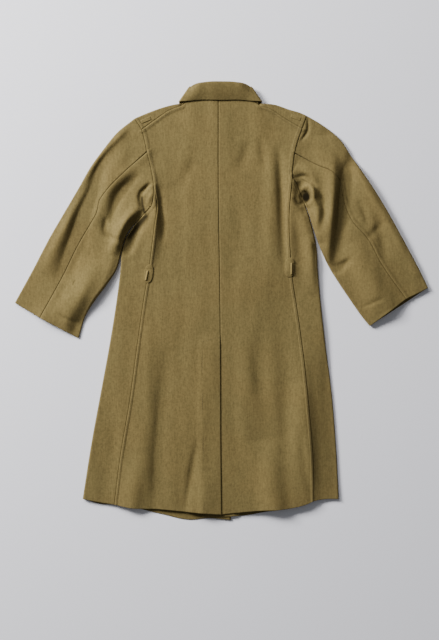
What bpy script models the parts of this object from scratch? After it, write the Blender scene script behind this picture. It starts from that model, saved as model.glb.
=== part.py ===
"""Military greatcoat of heavy wool cloth, laid flat on its front with the back upwards.

X runs across the coat and is positive to the wearer's right, Y runs from the hem to the collar and Z is up.
The origin is on the surface it lies on, at the middle of its outline. All sizes are in metres.

The cloth is a wall of even thickness. Two layers lie on each other. The lower one is flat on the surface and is
made of the two fronts and the undersides of the sleeves. The height of the upper one is worked out by
layer_height() from the folds listed in FOLDS. Each front goes round the side fold and over the shoulder to
its seams on the back.
"""

import math
from collections import namedtuple

import bmesh
import bpy
import numpy as np

# Cloth and how it lies
CLOTH = 0.0020
SEAM_GAP = 0.0003
LAYER = CLOTH + SEAM_GAP
LOWER_LEVEL = CLOTH / 2
UPPER_LEVEL = 0.0069
LEAST_LEVEL = 0.0037
LEVEL_BLEND = 0.001
MOST_ROLL = 0.0055
LAP_LEFT_EDGE = 0.026
LAP_RIGHT_EDGE = -0.045
LEFT_LAP_RAMP = (-0.052, -0.030)
RIGHT_LAP_RAMP = (0.056, 0.031)
MIDDLE_RISE = 0.0018
MIDDLE_RISE_X = (0.130, 0.072)
FOLD_STEPS = 4
PIT_LEAN = 0.7
PIT_REACH = 0.090

# The middle of the finished outline in the tables' plan, which the origin is moved to
PLAN_CENTRE = (0.0025, 0.0046)

# Counts of cells along each stretch of a panel
SEAM_ROWS = 20
SHOULDER_COLUMNS = 4
NECK_COLUMNS = 5
LAP_COLUMNS = 4
FRONT_COLUMNS = 4 + LAP_COLUMNS + SHOULDER_COLUMNS
NECK_COLUMN = FRONT_COLUMNS - SHOULDER_COLUMNS
UNDER_ROWS = 7
SLEEVE_ROWS = 15
VENT_COLUMNS = 2
SLEEVE_FRONT_SEAM = 2
SLEEVE_FADE = 4
BACK_SEAM_PART = 0.80
BACK_SHOULDER_PART = 0.55
UNDERARM_LEVEL = 0.79

# Stations along the back of the armhole, counted from the shoulder fold to the underarm
STATIONS_PER_KNOT = ((0, 1, 2), (1, 3, 4), (3, 5, 5), (5, 7, 4))
SHOULDER_SEAM_AT = 2
SLEEVE_SEAM_AT = 6
BACK_SEAM_AT = 11
UNDERARM_AT = 15

Side = namedtuple(
    "Side",
    "side_fold back_seam armhole front_armhole shoulder_fold shoulder_seam sleeve_outer sleeve_seam"
    " sleeve_inner neckline front_edge front_hem back_hem back_neck",
)
LEFT = Side(
    side_fold=[(-0.344, -0.490), (-0.321, -0.345), (-0.299, -0.225), (-0.276, -0.100), (-0.259, 0.008),
               (-0.248, 0.088), (-0.2440, 0.125), (-0.2350, 0.159), (-0.2150, 0.190), (-0.190, 0.222)],
    back_seam=[(-0.265, -0.5045), (-0.250, -0.385), (-0.226, -0.243), (-0.206, -0.095), (-0.191, 0.010),
               (-0.176, 0.100), (-0.164, 0.193), (-0.158, 0.242), (-0.1665, 0.292)],
    armhole=[(-0.2145, 0.461), (-0.197, 0.433), (-0.189, 0.405), (-0.1835, 0.378), (-0.173, 0.335),
             (-0.1665, 0.292), (-0.1720, 0.2435), (-0.190, 0.222)],
    front_armhole=[(-0.2145, 0.461), (-0.192, 0.400), (-0.178, 0.330), (-0.171, 0.280), (-0.1735, 0.2435),
                   (-0.190, 0.222)],
    shoulder_fold=[(-0.099, 0.4985), (-0.121, 0.4945), (-0.151, 0.486), (-0.184, 0.474), (-0.2145, 0.461)],
    shoulder_seam=[(-0.0965, 0.4935), (-0.126, 0.4825), (-0.160, 0.460), (-0.197, 0.433)],
    sleeve_outer=[(-0.2145, 0.461), (-0.256, 0.427), (-0.289, 0.3875), (-0.319, 0.3475), (-0.354, 0.2875),
                  (-0.389, 0.2275), (-0.424, 0.1675), (-0.466, 0.0875), (-0.514, 0.000)],
    sleeve_seam=[(-0.1835, 0.378), (-0.242, 0.325), (-0.286, 0.279), (-0.303, 0.255), (-0.309, 0.226),
                 (-0.324, 0.200), (-0.356, 0.145), (-0.394, 0.0675), (-0.451, -0.0375)],
    sleeve_inner=[(-0.190, 0.222), (-0.2085, 0.207), (-0.2270, 0.187), (-0.2415, 0.160), (-0.2505, 0.1225),
                  (-0.263, 0.0875), (-0.284, 0.0475), (-0.314, 0.0075), (-0.339, -0.0325),
                  (-0.356, -0.0875)],
    neckline=[(LAP_LEFT_EDGE, 0.418), (0.000, 0.418), (-0.031, 0.4245), (-0.060, 0.441), (-0.088, 0.470),
              (-0.099, 0.4985)],
    front_edge=[(LAP_LEFT_EDGE, -0.543), (LAP_LEFT_EDGE, 0.418)],
    front_hem=[(LAP_LEFT_EDGE, -0.543), (-0.036, -0.5385), (-0.071, -0.5425), (-0.151, -0.5275),
               (-0.250, -0.506), (-0.308, -0.502), (-0.344, -0.490)],
    back_hem=[(-0.344, -0.490), (-0.308, -0.4975), (-0.265, -0.5045), (-0.226, -0.512), (-0.151, -0.516),
              (-0.094, -0.5215), (0.003, -0.5285)],
    back_neck=[(-0.0965, 0.4935), (-0.078, 0.507), (-0.045, 0.5125), (-0.005, 0.515)],
)
RIGHT = Side(
    side_fold=[(0.295, -0.490), (0.287, -0.345), (0.277, -0.225), (0.261, -0.100), (0.249, 0.008),
               (0.241, 0.088), (0.2365, 0.138), (0.226, 0.186), (0.2125, 0.232), (0.2035, 0.264)],
    back_seam=[(0.233, -0.4955), (0.231, -0.395), (0.221, -0.270), (0.208, -0.1375), (0.190, -0.005),
               (0.179, 0.065), (0.174, 0.133), (0.171, 0.205), (0.1795, 0.318)],
    armhole=[(0.2155, 0.4675), (0.204, 0.436), (0.193, 0.405), (0.185, 0.3745), (0.181, 0.345),
             (0.1795, 0.318), (0.1915, 0.294), (0.2035, 0.264)],
    front_armhole=[(0.2155, 0.4675), (0.194, 0.410), (0.182, 0.360), (0.184, 0.312), (0.2035, 0.264)],
    shoulder_fold=[(0.099, 0.4985), (0.134, 0.4955), (0.174, 0.4825), (0.198, 0.4755), (0.2155, 0.4675)],
    shoulder_seam=[(0.0965, 0.4935), (0.126, 0.484), (0.162, 0.461), (0.204, 0.436)],
    sleeve_outer=[(0.2155, 0.4675), (0.250, 0.447), (0.299, 0.4075), (0.326, 0.3675), (0.354, 0.3275),
                  (0.406, 0.2475), (0.451, 0.1675), (0.494, 0.0875), (0.519, 0.0375)],
    sleeve_seam=[(0.185, 0.3745), (0.244, 0.3435), (0.277, 0.3285), (0.299, 0.305), (0.306, 0.268),
                 (0.3285, 0.2075), (0.369, 0.160), (0.401, 0.101), (0.464, 0.010)],
    sleeve_inner=[(0.2035, 0.264), (0.2175, 0.236), (0.231, 0.195), (0.2435, 0.1575), (0.255, 0.1275),
                  (0.274, 0.0875), (0.299, 0.0475), (0.326, 0.0075), (0.354, -0.0325), (0.374, -0.0575)],
    neckline=[(LAP_RIGHT_EDGE, 0.418), (0.000, 0.418), (0.031, 0.4245), (0.060, 0.441), (0.088, 0.470),
              (0.099, 0.4985)],
    front_edge=[(LAP_RIGHT_EDGE, -0.534), (LAP_RIGHT_EDGE, 0.418)],
    front_hem=[(LAP_RIGHT_EDGE, -0.534), (0.029, -0.534), (0.074, -0.530), (0.101, -0.525), (0.200, -0.509),
               (0.250, -0.489), (0.295, -0.490)],
    back_hem=[(0.295, -0.490), (0.262, -0.4905), (0.233, -0.4955), (0.2125, -0.504), (0.180, -0.512),
              (0.102, -0.5185), (0.003, -0.5285)],
    back_neck=[(0.0965, 0.4935), (0.078, 0.508), (0.045, 0.5135), (-0.005, 0.515)],
)
CENTRE_SEAM = [(0.003, -0.5285), (0.001, -0.345), (0.000, -0.105), (-0.001, 0.008), (-0.005, 0.300),
               (-0.005, 0.515)]
VENT_TOP_ROW = 10
VENT_UNDERLAP = 0.036
VENT_RAMP_X = (-0.062, -0.042)
VENT_RAMP_Y = (-0.070, -0.108)

# Folds of the upper layer. Each follows a curve from start through bend to end and rises by rise. It falls
# away over the width to its left and to its right as seen from its start.
Fold = namedtuple("Fold", "start bend end rise left right")
FOLDS = [
    Fold((-0.235, 0.440), (-0.331, 0.285), (-0.445, 0.075), 0.0100, 0.026, 0.016),
    Fold((-0.190, 0.345), (-0.270, 0.290), (-0.300, 0.190), 0.0060, 0.020, 0.026),
    Fold((-0.190, 0.262), (-0.234, 0.218), (-0.270, 0.140), 0.0080, 0.022, 0.028),
    Fold((-0.262, 0.150), (-0.290, 0.060), (-0.350, -0.060), 0.0070, 0.016, 0.034),
    Fold((-0.170, 0.340), (-0.162, 0.235), (-0.176, 0.085), 0.0085, 0.014, 0.026),
    Fold((-0.176, 0.240), (-0.198, 0.185), (-0.222, 0.110), 0.0060, 0.022, 0.014),
    Fold((-0.172, 0.262), (-0.192, 0.224), (-0.222, 0.184), -0.0055, 0.018, 0.018),
    Fold((-0.185, -0.060), (-0.188, -0.270), (-0.215, -0.560), 0.0050, 0.026, 0.040),
    Fold((0.135, 0.430), (0.130, 0.290), (0.132, 0.040), 0.0050, 0.036, 0.020),
    Fold((0.182, 0.420), (0.172, 0.270), (0.180, 0.020), 0.0055, 0.016, 0.020),
    Fold((0.187, 0.340), (0.222, 0.322), (0.236, 0.262), 0.0085, 0.018, 0.014),
    Fold((0.232, 0.290), (0.243, 0.225), (0.246, 0.150), 0.0100, 0.018, 0.014),
    Fold((0.176, 0.310), (0.192, 0.250), (0.212, 0.170), 0.0060, 0.016, 0.018),
    Fold((0.192, 0.304), (0.204, 0.264), (0.220, 0.222), -0.0080, 0.014, 0.014),
    Fold((0.268, 0.420), (0.278, 0.300), (0.286, 0.085), 0.0130, 0.022, 0.034),
    Fold((0.300, 0.405), (0.380, 0.260), (0.490, 0.060), 0.0050, 0.016, 0.026),
    Fold((0.310, 0.200), (0.340, 0.110), (0.410, -0.020), 0.0050, 0.034, 0.030),
    Fold((0.066, -0.020), (0.064, -0.200), (0.058, -0.420), 0.0035, 0.030, 0.030),
    Fold((0.190, -0.200), (0.192, -0.340), (0.190, -0.560), 0.0050, 0.034, 0.026),
]
FOLD_SAMPLES = 16

# The collar's lines for one half, from the centre front on the underside round the side of the neck to the
# middle of the back. The right half mirrors them. The stand's foot follows the neckline instead.
STAND_SIDE = (-0.0962, 0.4950)
STAND_TOP_FRONT = [(-0.003, 0.446), (-0.046, 0.468), (-0.069, 0.503)]
STAND_TOP_SIDE = (-0.0770, 0.5350)
STAND_TOP_BACK = [(-0.064, 0.5425), (-0.038, 0.5475), (0.000, 0.549)]
FALL_EDGE_FRONT = [(-0.044, 0.372), (-0.090, 0.412), (-0.108, 0.462)]
FALL_EDGE_SIDE = (-0.1040, 0.5030)
FALL_EDGE_BACK = [(-0.088, 0.5035), (-0.045, 0.507), (0.000, 0.506)]
FALL_LOFT = (0.0020, 0.0006)
COLLAR_GAP = 0.0007
STAND_SEAM_GAP = 0.0009
NECK_SIDE_SHARE = 0.055
BEFORE_TURN = 0.97
BACK_NECK_Y = 0.515
FRONT_NECK_Y = 0.46
STAND_COLUMNS = 2
FALL_COLUMNS = 3
FINER = 3

# Room that the collar takes under the fronts, and the buttons under the lap
COLLAR_ROOM = 0.0029
COLLAR_LIFT_Y = (0.300, 0.335)
COLLAR_LIFT_X = (0.172, 0.148)
BUTTON_X = -0.010
BUTTON_YS = (0.320, 0.215, 0.110, 0.005, -0.100)
BUTTON_RADIUS = 0.011
BUTTON_HEIGHT = 0.0020
BUTTON_BEVEL = 0.0005
BUTTON_SEGMENTS = 24

# Belt loops on the back seams at the waist, and the tabs for shoulder marks
LOOP_LENGTH = 0.044
LOOP_WIDTH = 0.013
LOOP_RISE = 0.0034
LOOP_SHIFT = -0.0007
LOOP_END_WIDTH = 0.6
LOOP_Y = {"left": 0.076, "right": 0.093}
TAB_SIZE = (0.026, 0.009)
TAB_SHARE = 0.80
TAB_IN = 0.0145

WOOL = (0.216, 0.166, 0.069, 1.0)
HORN = (0.060, 0.043, 0.022, 1.0)


def smooth_step(low, high, value):
    """0 at low, 1 at high and level at both ends. Low may be the larger of the two."""
    share = np.clip((value - low) / (high - low), 0, 1)
    return share * share * (3 - 2 * share)


def along(points, share):
    """Points at these shares of a smooth curve through the given points, measured along its chords."""
    points = np.asarray(points, float)
    gaps = np.linalg.norm(np.diff(points, axis=0), axis=1)
    knots = np.concatenate([[0], np.cumsum(gaps)]) / gaps.sum()
    slopes = np.gradient(points, knots, axis=0)
    share = np.clip(np.atleast_1d(np.asarray(share, float)), 0, 1)
    cell = np.clip(np.searchsorted(knots, share, side="right") - 1, 0, len(points) - 2)
    width = (knots[cell + 1] - knots[cell])[:, None]
    t = ((share - knots[cell]) / width[:, 0])[:, None]
    first, last = points[cell], points[cell + 1]
    return (
        (2 * t**3 - 3 * t**2 + 1) * first
        + (t**3 - 2 * t**2 + t) * width * slopes[cell]
        + (3 * t**2 - 2 * t**3) * last
        + (t**3 - t**2) * width * slopes[cell + 1]
    )


def share_at(points, index):
    """How far along its chords a curve's own point lies."""
    gaps = np.linalg.norm(np.diff(np.asarray(points, float), axis=0), axis=1)
    return gaps[:index].sum() / gaps.sum()


def unit(vector):
    return vector / np.linalg.norm(vector, axis=-1, keepdims=True)


class Patch:
    """A four-sided area between its boundary curves, each a function of a share from 0 to 1.

    It is ruled straight between start and end, and bends with the low and high boundaries near them. With a
    larger fade the low boundary's bend is lost sooner.
    """

    def __init__(self, low, high, start, end, fade=1):
        self.low, self.high, self.start, self.end, self.fade = low, high, start, end, fade

    def __call__(self, s, v):
        s = np.atleast_1d(np.asarray(s, float))
        v = np.broadcast_to(np.asarray(v, float), s.shape)
        a, b = s[:, None], v[:, None]
        ruled = (1 - a) * self.start(v) + a * self.end(v)
        low_bend = self.low(s) - (1 - a) * self.low(0) - a * self.low(1)
        high_bend = self.high(s) - (1 - a) * self.high(0) - a * self.high(1)
        return ruled + low_bend * (1 - b) ** self.fade + high_bend * b


def curve(points, first=0.0, last=1.0):
    """The stretch of a curve between two shares, as a function of 0 to 1."""
    return lambda share: along(points, first + (last - first) * np.asarray(share, float))


def joined(one, other, at):
    """Two curves end to end as one, with the join at a share."""

    def run(share):
        share = np.atleast_1d(np.asarray(share, float))
        return np.where((share < at)[:, None], one(np.clip(share / at, 0, 1)),
                        other(np.clip((share - at) / (1 - at), 0, 1)))

    return run


def fold_relief(x, y):
    """Height that all the folds add at these points."""
    lines = np.array([along([f.start, f.bend, f.end], np.linspace(0, 1, FOLD_SAMPLES)) for f in FOLDS])
    rise, left, right = (np.array([getattr(f, key) for f in FOLDS]) for key in ("rise", "left", "right"))
    pieces = np.diff(lines, axis=1)
    away_x = np.reshape(x, (-1, 1, 1)) - lines[:, :-1, 0]
    away_y = np.reshape(y, (-1, 1, 1)) - lines[:, :-1, 1]
    t = np.clip((away_x * pieces[..., 0] + away_y * pieces[..., 1]) / (pieces**2).sum(axis=2), 0, 1)
    gaps = np.hypot(away_x - t * pieces[..., 0], away_y - t * pieces[..., 1])
    nearest = gaps.argmin(axis=2)[..., None]
    crossing = np.take_along_axis(pieces[..., 0] * away_y - pieces[..., 1] * away_x, nearest, axis=2)[..., 0]
    reached = (nearest + np.take_along_axis(t, nearest, axis=2))[..., 0] / (FOLD_SAMPLES - 1)
    gap = np.take_along_axis(gaps, nearest, axis=2)[..., 0]
    taper = np.sin(np.pi * np.clip(reached, 0, 1)) ** 0.7
    relief = rise * np.exp(-((gap / np.where(crossing > 0, left, right)) ** 2)) * taper
    return relief.sum(axis=1).reshape(np.shape(x))


def collar_lift(x, y):
    return COLLAR_ROOM * smooth_step(*COLLAR_LIFT_Y, y) * smooth_step(*COLLAR_LIFT_X, np.abs(x))


def layer_height(x, y):
    """Height of the middle of the upper layer's cloth."""
    height = UPPER_LEVEL + MIDDLE_RISE * smooth_step(*MIDDLE_RISE_X, np.abs(x)) + fold_relief(x, y)
    over = (height - LEAST_LEVEL) / LEVEL_BLEND
    return LEAST_LEVEL + LEVEL_BLEND * np.logaddexp(0, over)


def vent_height(x, y):
    """The left back rides over the right back's underlap along the vent."""
    return layer_height(x, y) + LAYER * smooth_step(*VENT_RAMP_X, x) * smooth_step(*VENT_RAMP_Y, y)


def left_front_height(x, y):
    """The left front lies on the buttons along its edge and on the collar at the neck."""
    return LOWER_LEVEL + np.maximum(LAYER * smooth_step(*LEFT_LAP_RAMP, x), collar_lift(x, y))


def right_front_height(x, y):
    """The right front lies on the left front within the lap."""
    lap = LAYER * smooth_step(*RIGHT_LAP_RAMP, x)
    return LOWER_LEVEL + np.maximum(lap, collar_lift(x, y)) + lap


def sleeve_under_height(x, y):
    return np.full(np.shape(x), LOWER_LEVEL)


def surface(plan, height, faces_up):
    """Points of a layer over these plan points, with the normals of its outer face."""
    step = 0.002
    x, y = plan[:, 0], plan[:, 1]
    rise_x = (height(x + step, y) - height(x - step, y)) / (2 * step)
    rise_y = (height(x, y + step) - height(x, y - step)) / (2 * step)
    normal = unit(np.column_stack([-rise_x, -rise_y, np.ones(len(x))]))
    return np.column_stack([x, y, height(x, y)]), normal if faces_up else -normal


def roll_radius(top, bottom):
    return min(max((top - bottom) / 2, 0.0015), MOST_ROLL)


def roll(edge, upper, lower, top, bottom, radius, steps=FOLD_STEPS):
    """The cloth's turn at a fold, from just after the upper layer to just before the lower one.

    edge is the outermost plan point, and upper and lower are the plan directions into each layer.
    """
    turns = np.pi * np.arange(1, steps) / steps
    share = (turns / np.pi)[:, None]
    inward = unit((1 - share) * upper + share * lower)
    plan = edge + inward * (radius * (1 - np.sin(turns)))[:, None]
    middle, half = (top + bottom) / 2, (top - bottom) / 2
    points = np.column_stack([plan, middle + half * np.cos(turns)])
    flat = np.sin(turns)[:, None] * half / radius
    normal = unit(np.column_stack([-inward * flat, np.cos(turns)]))
    return points, normal


def inward_from(fold_line, share, inside, pit):
    """The plan direction square to a fold line at a share, towards a point inside and leaning to the pit."""
    before, here, after = along(fold_line, [share - 0.01, share, share + 0.01])
    tangent = after - before
    square = unit(np.array([-tangent[1], tangent[0]]))
    to_pit = np.array(pit) - here
    distance = np.linalg.norm(to_pit)
    lean = PIT_LEAN * max(0, 1 - distance / PIT_REACH) / max(distance, CLOTH)
    return unit(square * np.sign(square @ (inside - here)) + lean * to_pit)


def ending_at(plan, target):
    """A row of plan points drawn so that its last point lies at a target, and the near ones follow."""
    share = np.linspace(0, 1, len(plan))[:, None]
    return plan + (target - plan[-1]) * share**2


def wall(name, points, normals, kept, material):
    """A closed wall of cloth on a grid of middle points, with the cells that kept allows."""
    columns, rows = points.shape[0] - 1, points.shape[1] - 1
    mesh_builder = bmesh.new()
    bmesh.ops.create_grid(mesh_builder, x_segments=columns, y_segments=rows, size=0.5)
    place = mesh_builder.verts.layers.int.new("place")
    for vertex in mesh_builder.verts:
        i = round((vertex.co.x + 0.5) * columns)
        j = round((vertex.co.y + 0.5) * rows)
        vertex[place] = i * (rows + 1) + j
    dropped = []
    for face in mesh_builder.faces:
        centre = face.calc_center_median()
        i, j = int((centre.x + 0.5) * columns), int((centre.y + 0.5) * rows)
        if not kept(i, j):
            dropped.append(face)
    bmesh.ops.delete(mesh_builder, geom=dropped, context="FACES")
    inner = list(mesh_builder.verts)
    made = bmesh.ops.extrude_face_region(mesh_builder, geom=mesh_builder.faces[:], use_keep_orig=True)
    outer = [g for g in made["geom"] if isinstance(g, bmesh.types.BMVert)]
    flat_points, flat_normals = points.reshape(-1, 3), normals.reshape(-1, 3)
    for group, offset in ((inner, -CLOTH / 2), (outer, CLOTH / 2)):
        for vertex in group:
            vertex.co = flat_points[vertex[place]] + flat_normals[vertex[place]] * offset
    bmesh.ops.recalc_face_normals(mesh_builder, faces=mesh_builder.faces[:])
    if mesh_builder.calc_volume(signed=True) < 0:
        bmesh.ops.reverse_faces(mesh_builder, faces=mesh_builder.faces[:])
    return finish(name, mesh_builder, material)


def finish(name, mesh_builder, material):
    bmesh.ops.translate(mesh_builder, verts=mesh_builder.verts[:], vec=(-PLAN_CENTRE[0], -PLAN_CENTRE[1], 0))
    mesh = bpy.data.meshes.new(name)
    mesh_builder.to_mesh(mesh)
    mesh_builder.free()
    mesh.materials.append(material)
    mesh.shade_smooth()
    mesh.set_sharp_from_angle(angle=math.radians(40))
    piece = bpy.data.objects.new(name, mesh)
    bpy.context.scene.collection.objects.link(piece)
    return piece


class Armhole:
    """The ring where a sleeve joins the body: points, normals and the plan direction towards the sleeve."""

    def __init__(self, side):
        self.top_shares = [0.0]
        for first, last, count in STATIONS_PER_KNOT:
            low, high = share_at(side.armhole, first), share_at(side.armhole, last)
            self.top_shares += list(np.linspace(low, high, count + 1)[1:])
        self.top_shares = np.array(self.top_shares)
        self.under_shares = np.linspace(1, 0, UNDER_ROWS + 1)
        top_length = np.linalg.norm(np.diff(side.armhole, axis=0), axis=1).sum()
        under_length = np.linalg.norm(np.diff(side.front_armhole, axis=0), axis=1).sum()
        ends = along(side.armhole, [0, 1])
        heights = layer_height(ends[:, 0], ends[:, 1])
        self.radii = [roll_radius(h, LOWER_LEVEL) for h in heights]
        self.top_shares[0] = self.radii[0] / top_length
        self.top_shares[-1] = 1 - self.radii[1] / top_length
        self.under_shares[0] = 1 - self.radii[1] / under_length
        self.under_shares[-1] = self.radii[0] / under_length
        top_plan = along(side.armhole, self.top_shares)
        under_plan = along(side.front_armhole, self.under_shares)
        self.top, self.top_normal = surface(top_plan, layer_height, True)
        self.under, self.under_normal = surface(under_plan, sleeve_under_height, False)
        outward = 1 if side is RIGHT else -1
        self.top_way = self.towards_sleeve(side.armhole, self.top_shares, outward)
        self.under_way = self.towards_sleeve(side.front_armhole, self.under_shares, outward)
        self.tip, self.tip_normal = roll(
            ends[0], unit(top_plan[0] - ends[0]), unit(under_plan[-1] - ends[0]), self.top[0][2],
            self.under[-1][2], self.radii[0])
        self.pit, self.pit_normal = roll(
            ends[1], unit(top_plan[-1] - ends[1]), unit(under_plan[0] - ends[1]), self.top[-1][2],
            self.under[0][2], self.radii[1])
        self.pit_way = np.repeat(self.top_way[-1:], FOLD_STEPS - 1, axis=0)
        self.tip_way = np.repeat(self.top_way[:1], FOLD_STEPS - 1, axis=0)

    @staticmethod
    def towards_sleeve(points, shares, outward):
        tangent = unit(along(points, shares + 1e-3) - along(points, shares - 1e-3))
        across = np.column_stack([-tangent[:, 1], tangent[:, 0]])
        return np.column_stack([across * outward, np.zeros(len(across))])

    def moved(self, points, way, towards):
        return points + way * towards * SEAM_GAP / 2


def back_panel(side, name, material):
    """A back, from its seam with the front and the armhole to the centre seam."""
    armhole = Armhole(side)
    seam_part, top_part = BACK_SEAM_PART, BACK_SHOULDER_PART
    from_seam, to_shoulder = (share_at(side.armhole, k) for k in (5, 1))
    hem_at = share_at(side.back_hem, 2)
    patch = Patch(
        curve(side.back_hem, hem_at, 1),
        joined(curve(side.shoulder_seam, 1, 0), curve(side.back_neck), top_part),
        joined(curve(side.back_seam), curve(side.armhole, from_seam, to_shoulder), seam_part),
        curve(CENTRE_SEAM),
    )
    armhole_rows = np.arange(BACK_SEAM_AT - 1, SHOULDER_SEAM_AT - 1, -1)
    shares = armhole.top_shares[armhole_rows]
    upper_rows = seam_part + (1 - seam_part) * (shares - from_seam) / (to_shoulder - from_seam)
    rows = np.concatenate([np.linspace(0, seam_part, SEAM_ROWS + 1), upper_rows])
    columns = np.concatenate([
        np.linspace(0, top_part, SHOULDER_COLUMNS + 1),
        np.linspace(top_part, 1, NECK_COLUMNS + 1)[1:],
    ])
    is_left = side is LEFT
    extra = 0 if is_left else VENT_COLUMNS
    points = np.zeros((len(columns) + extra, len(rows), 3))
    normals = np.zeros_like(points)
    height = vent_height if is_left else layer_height
    for j, v in enumerate(rows):
        width = np.linalg.norm(patch(1, v) - patch(0, v))
        inset = SEAM_GAP / 2 / width
        s = inset + columns * (1 - 2 * inset)
        plan = patch(s, min(v, 1 - SEAM_GAP / 2))
        if not is_left:
            under = plan[-1] - np.outer(np.arange(1, extra + 1) / extra, [VENT_UNDERLAP, 0])
            plan = np.vstack([plan, under])
        points[:, j], normals[:, j] = surface(plan, height, True)
        if j > SEAM_ROWS:
            k = armhole_rows[j - SEAM_ROWS - 1]
            points[0, j] = armhole.moved(armhole.top[k], armhole.top_way[k], -1)
            normals[0, j] = armhole.top_normal[k]
    kept = (lambda i, j: True) if is_left else (lambda i, j: i < len(columns) - 1 or j < VENT_TOP_ROW)
    return wall(name, points, normals, kept, material)


def front_columns(patch, v, ramp, neck_part):
    """Shares across a front's row.

    The columns are the lap's edge, the centre front and both ends of the lap's ramp, then even steps to the
    neck's side and on to the fold.
    """
    shares = np.linspace(0, 1, 201)
    row_x = patch(shares, v)[:, 0]
    order = np.argsort(row_x)
    lap = np.interp([0, *sorted(ramp, key=abs)], row_x[order], shares[order])
    to_neck = np.linspace(lap[2], neck_part, NECK_COLUMN - 2)
    to_side = np.linspace(neck_part, 1, SHOULDER_COLUMNS + 1)
    return np.concatenate([[0], lap[:2], to_neck, to_side[1:]])


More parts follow.
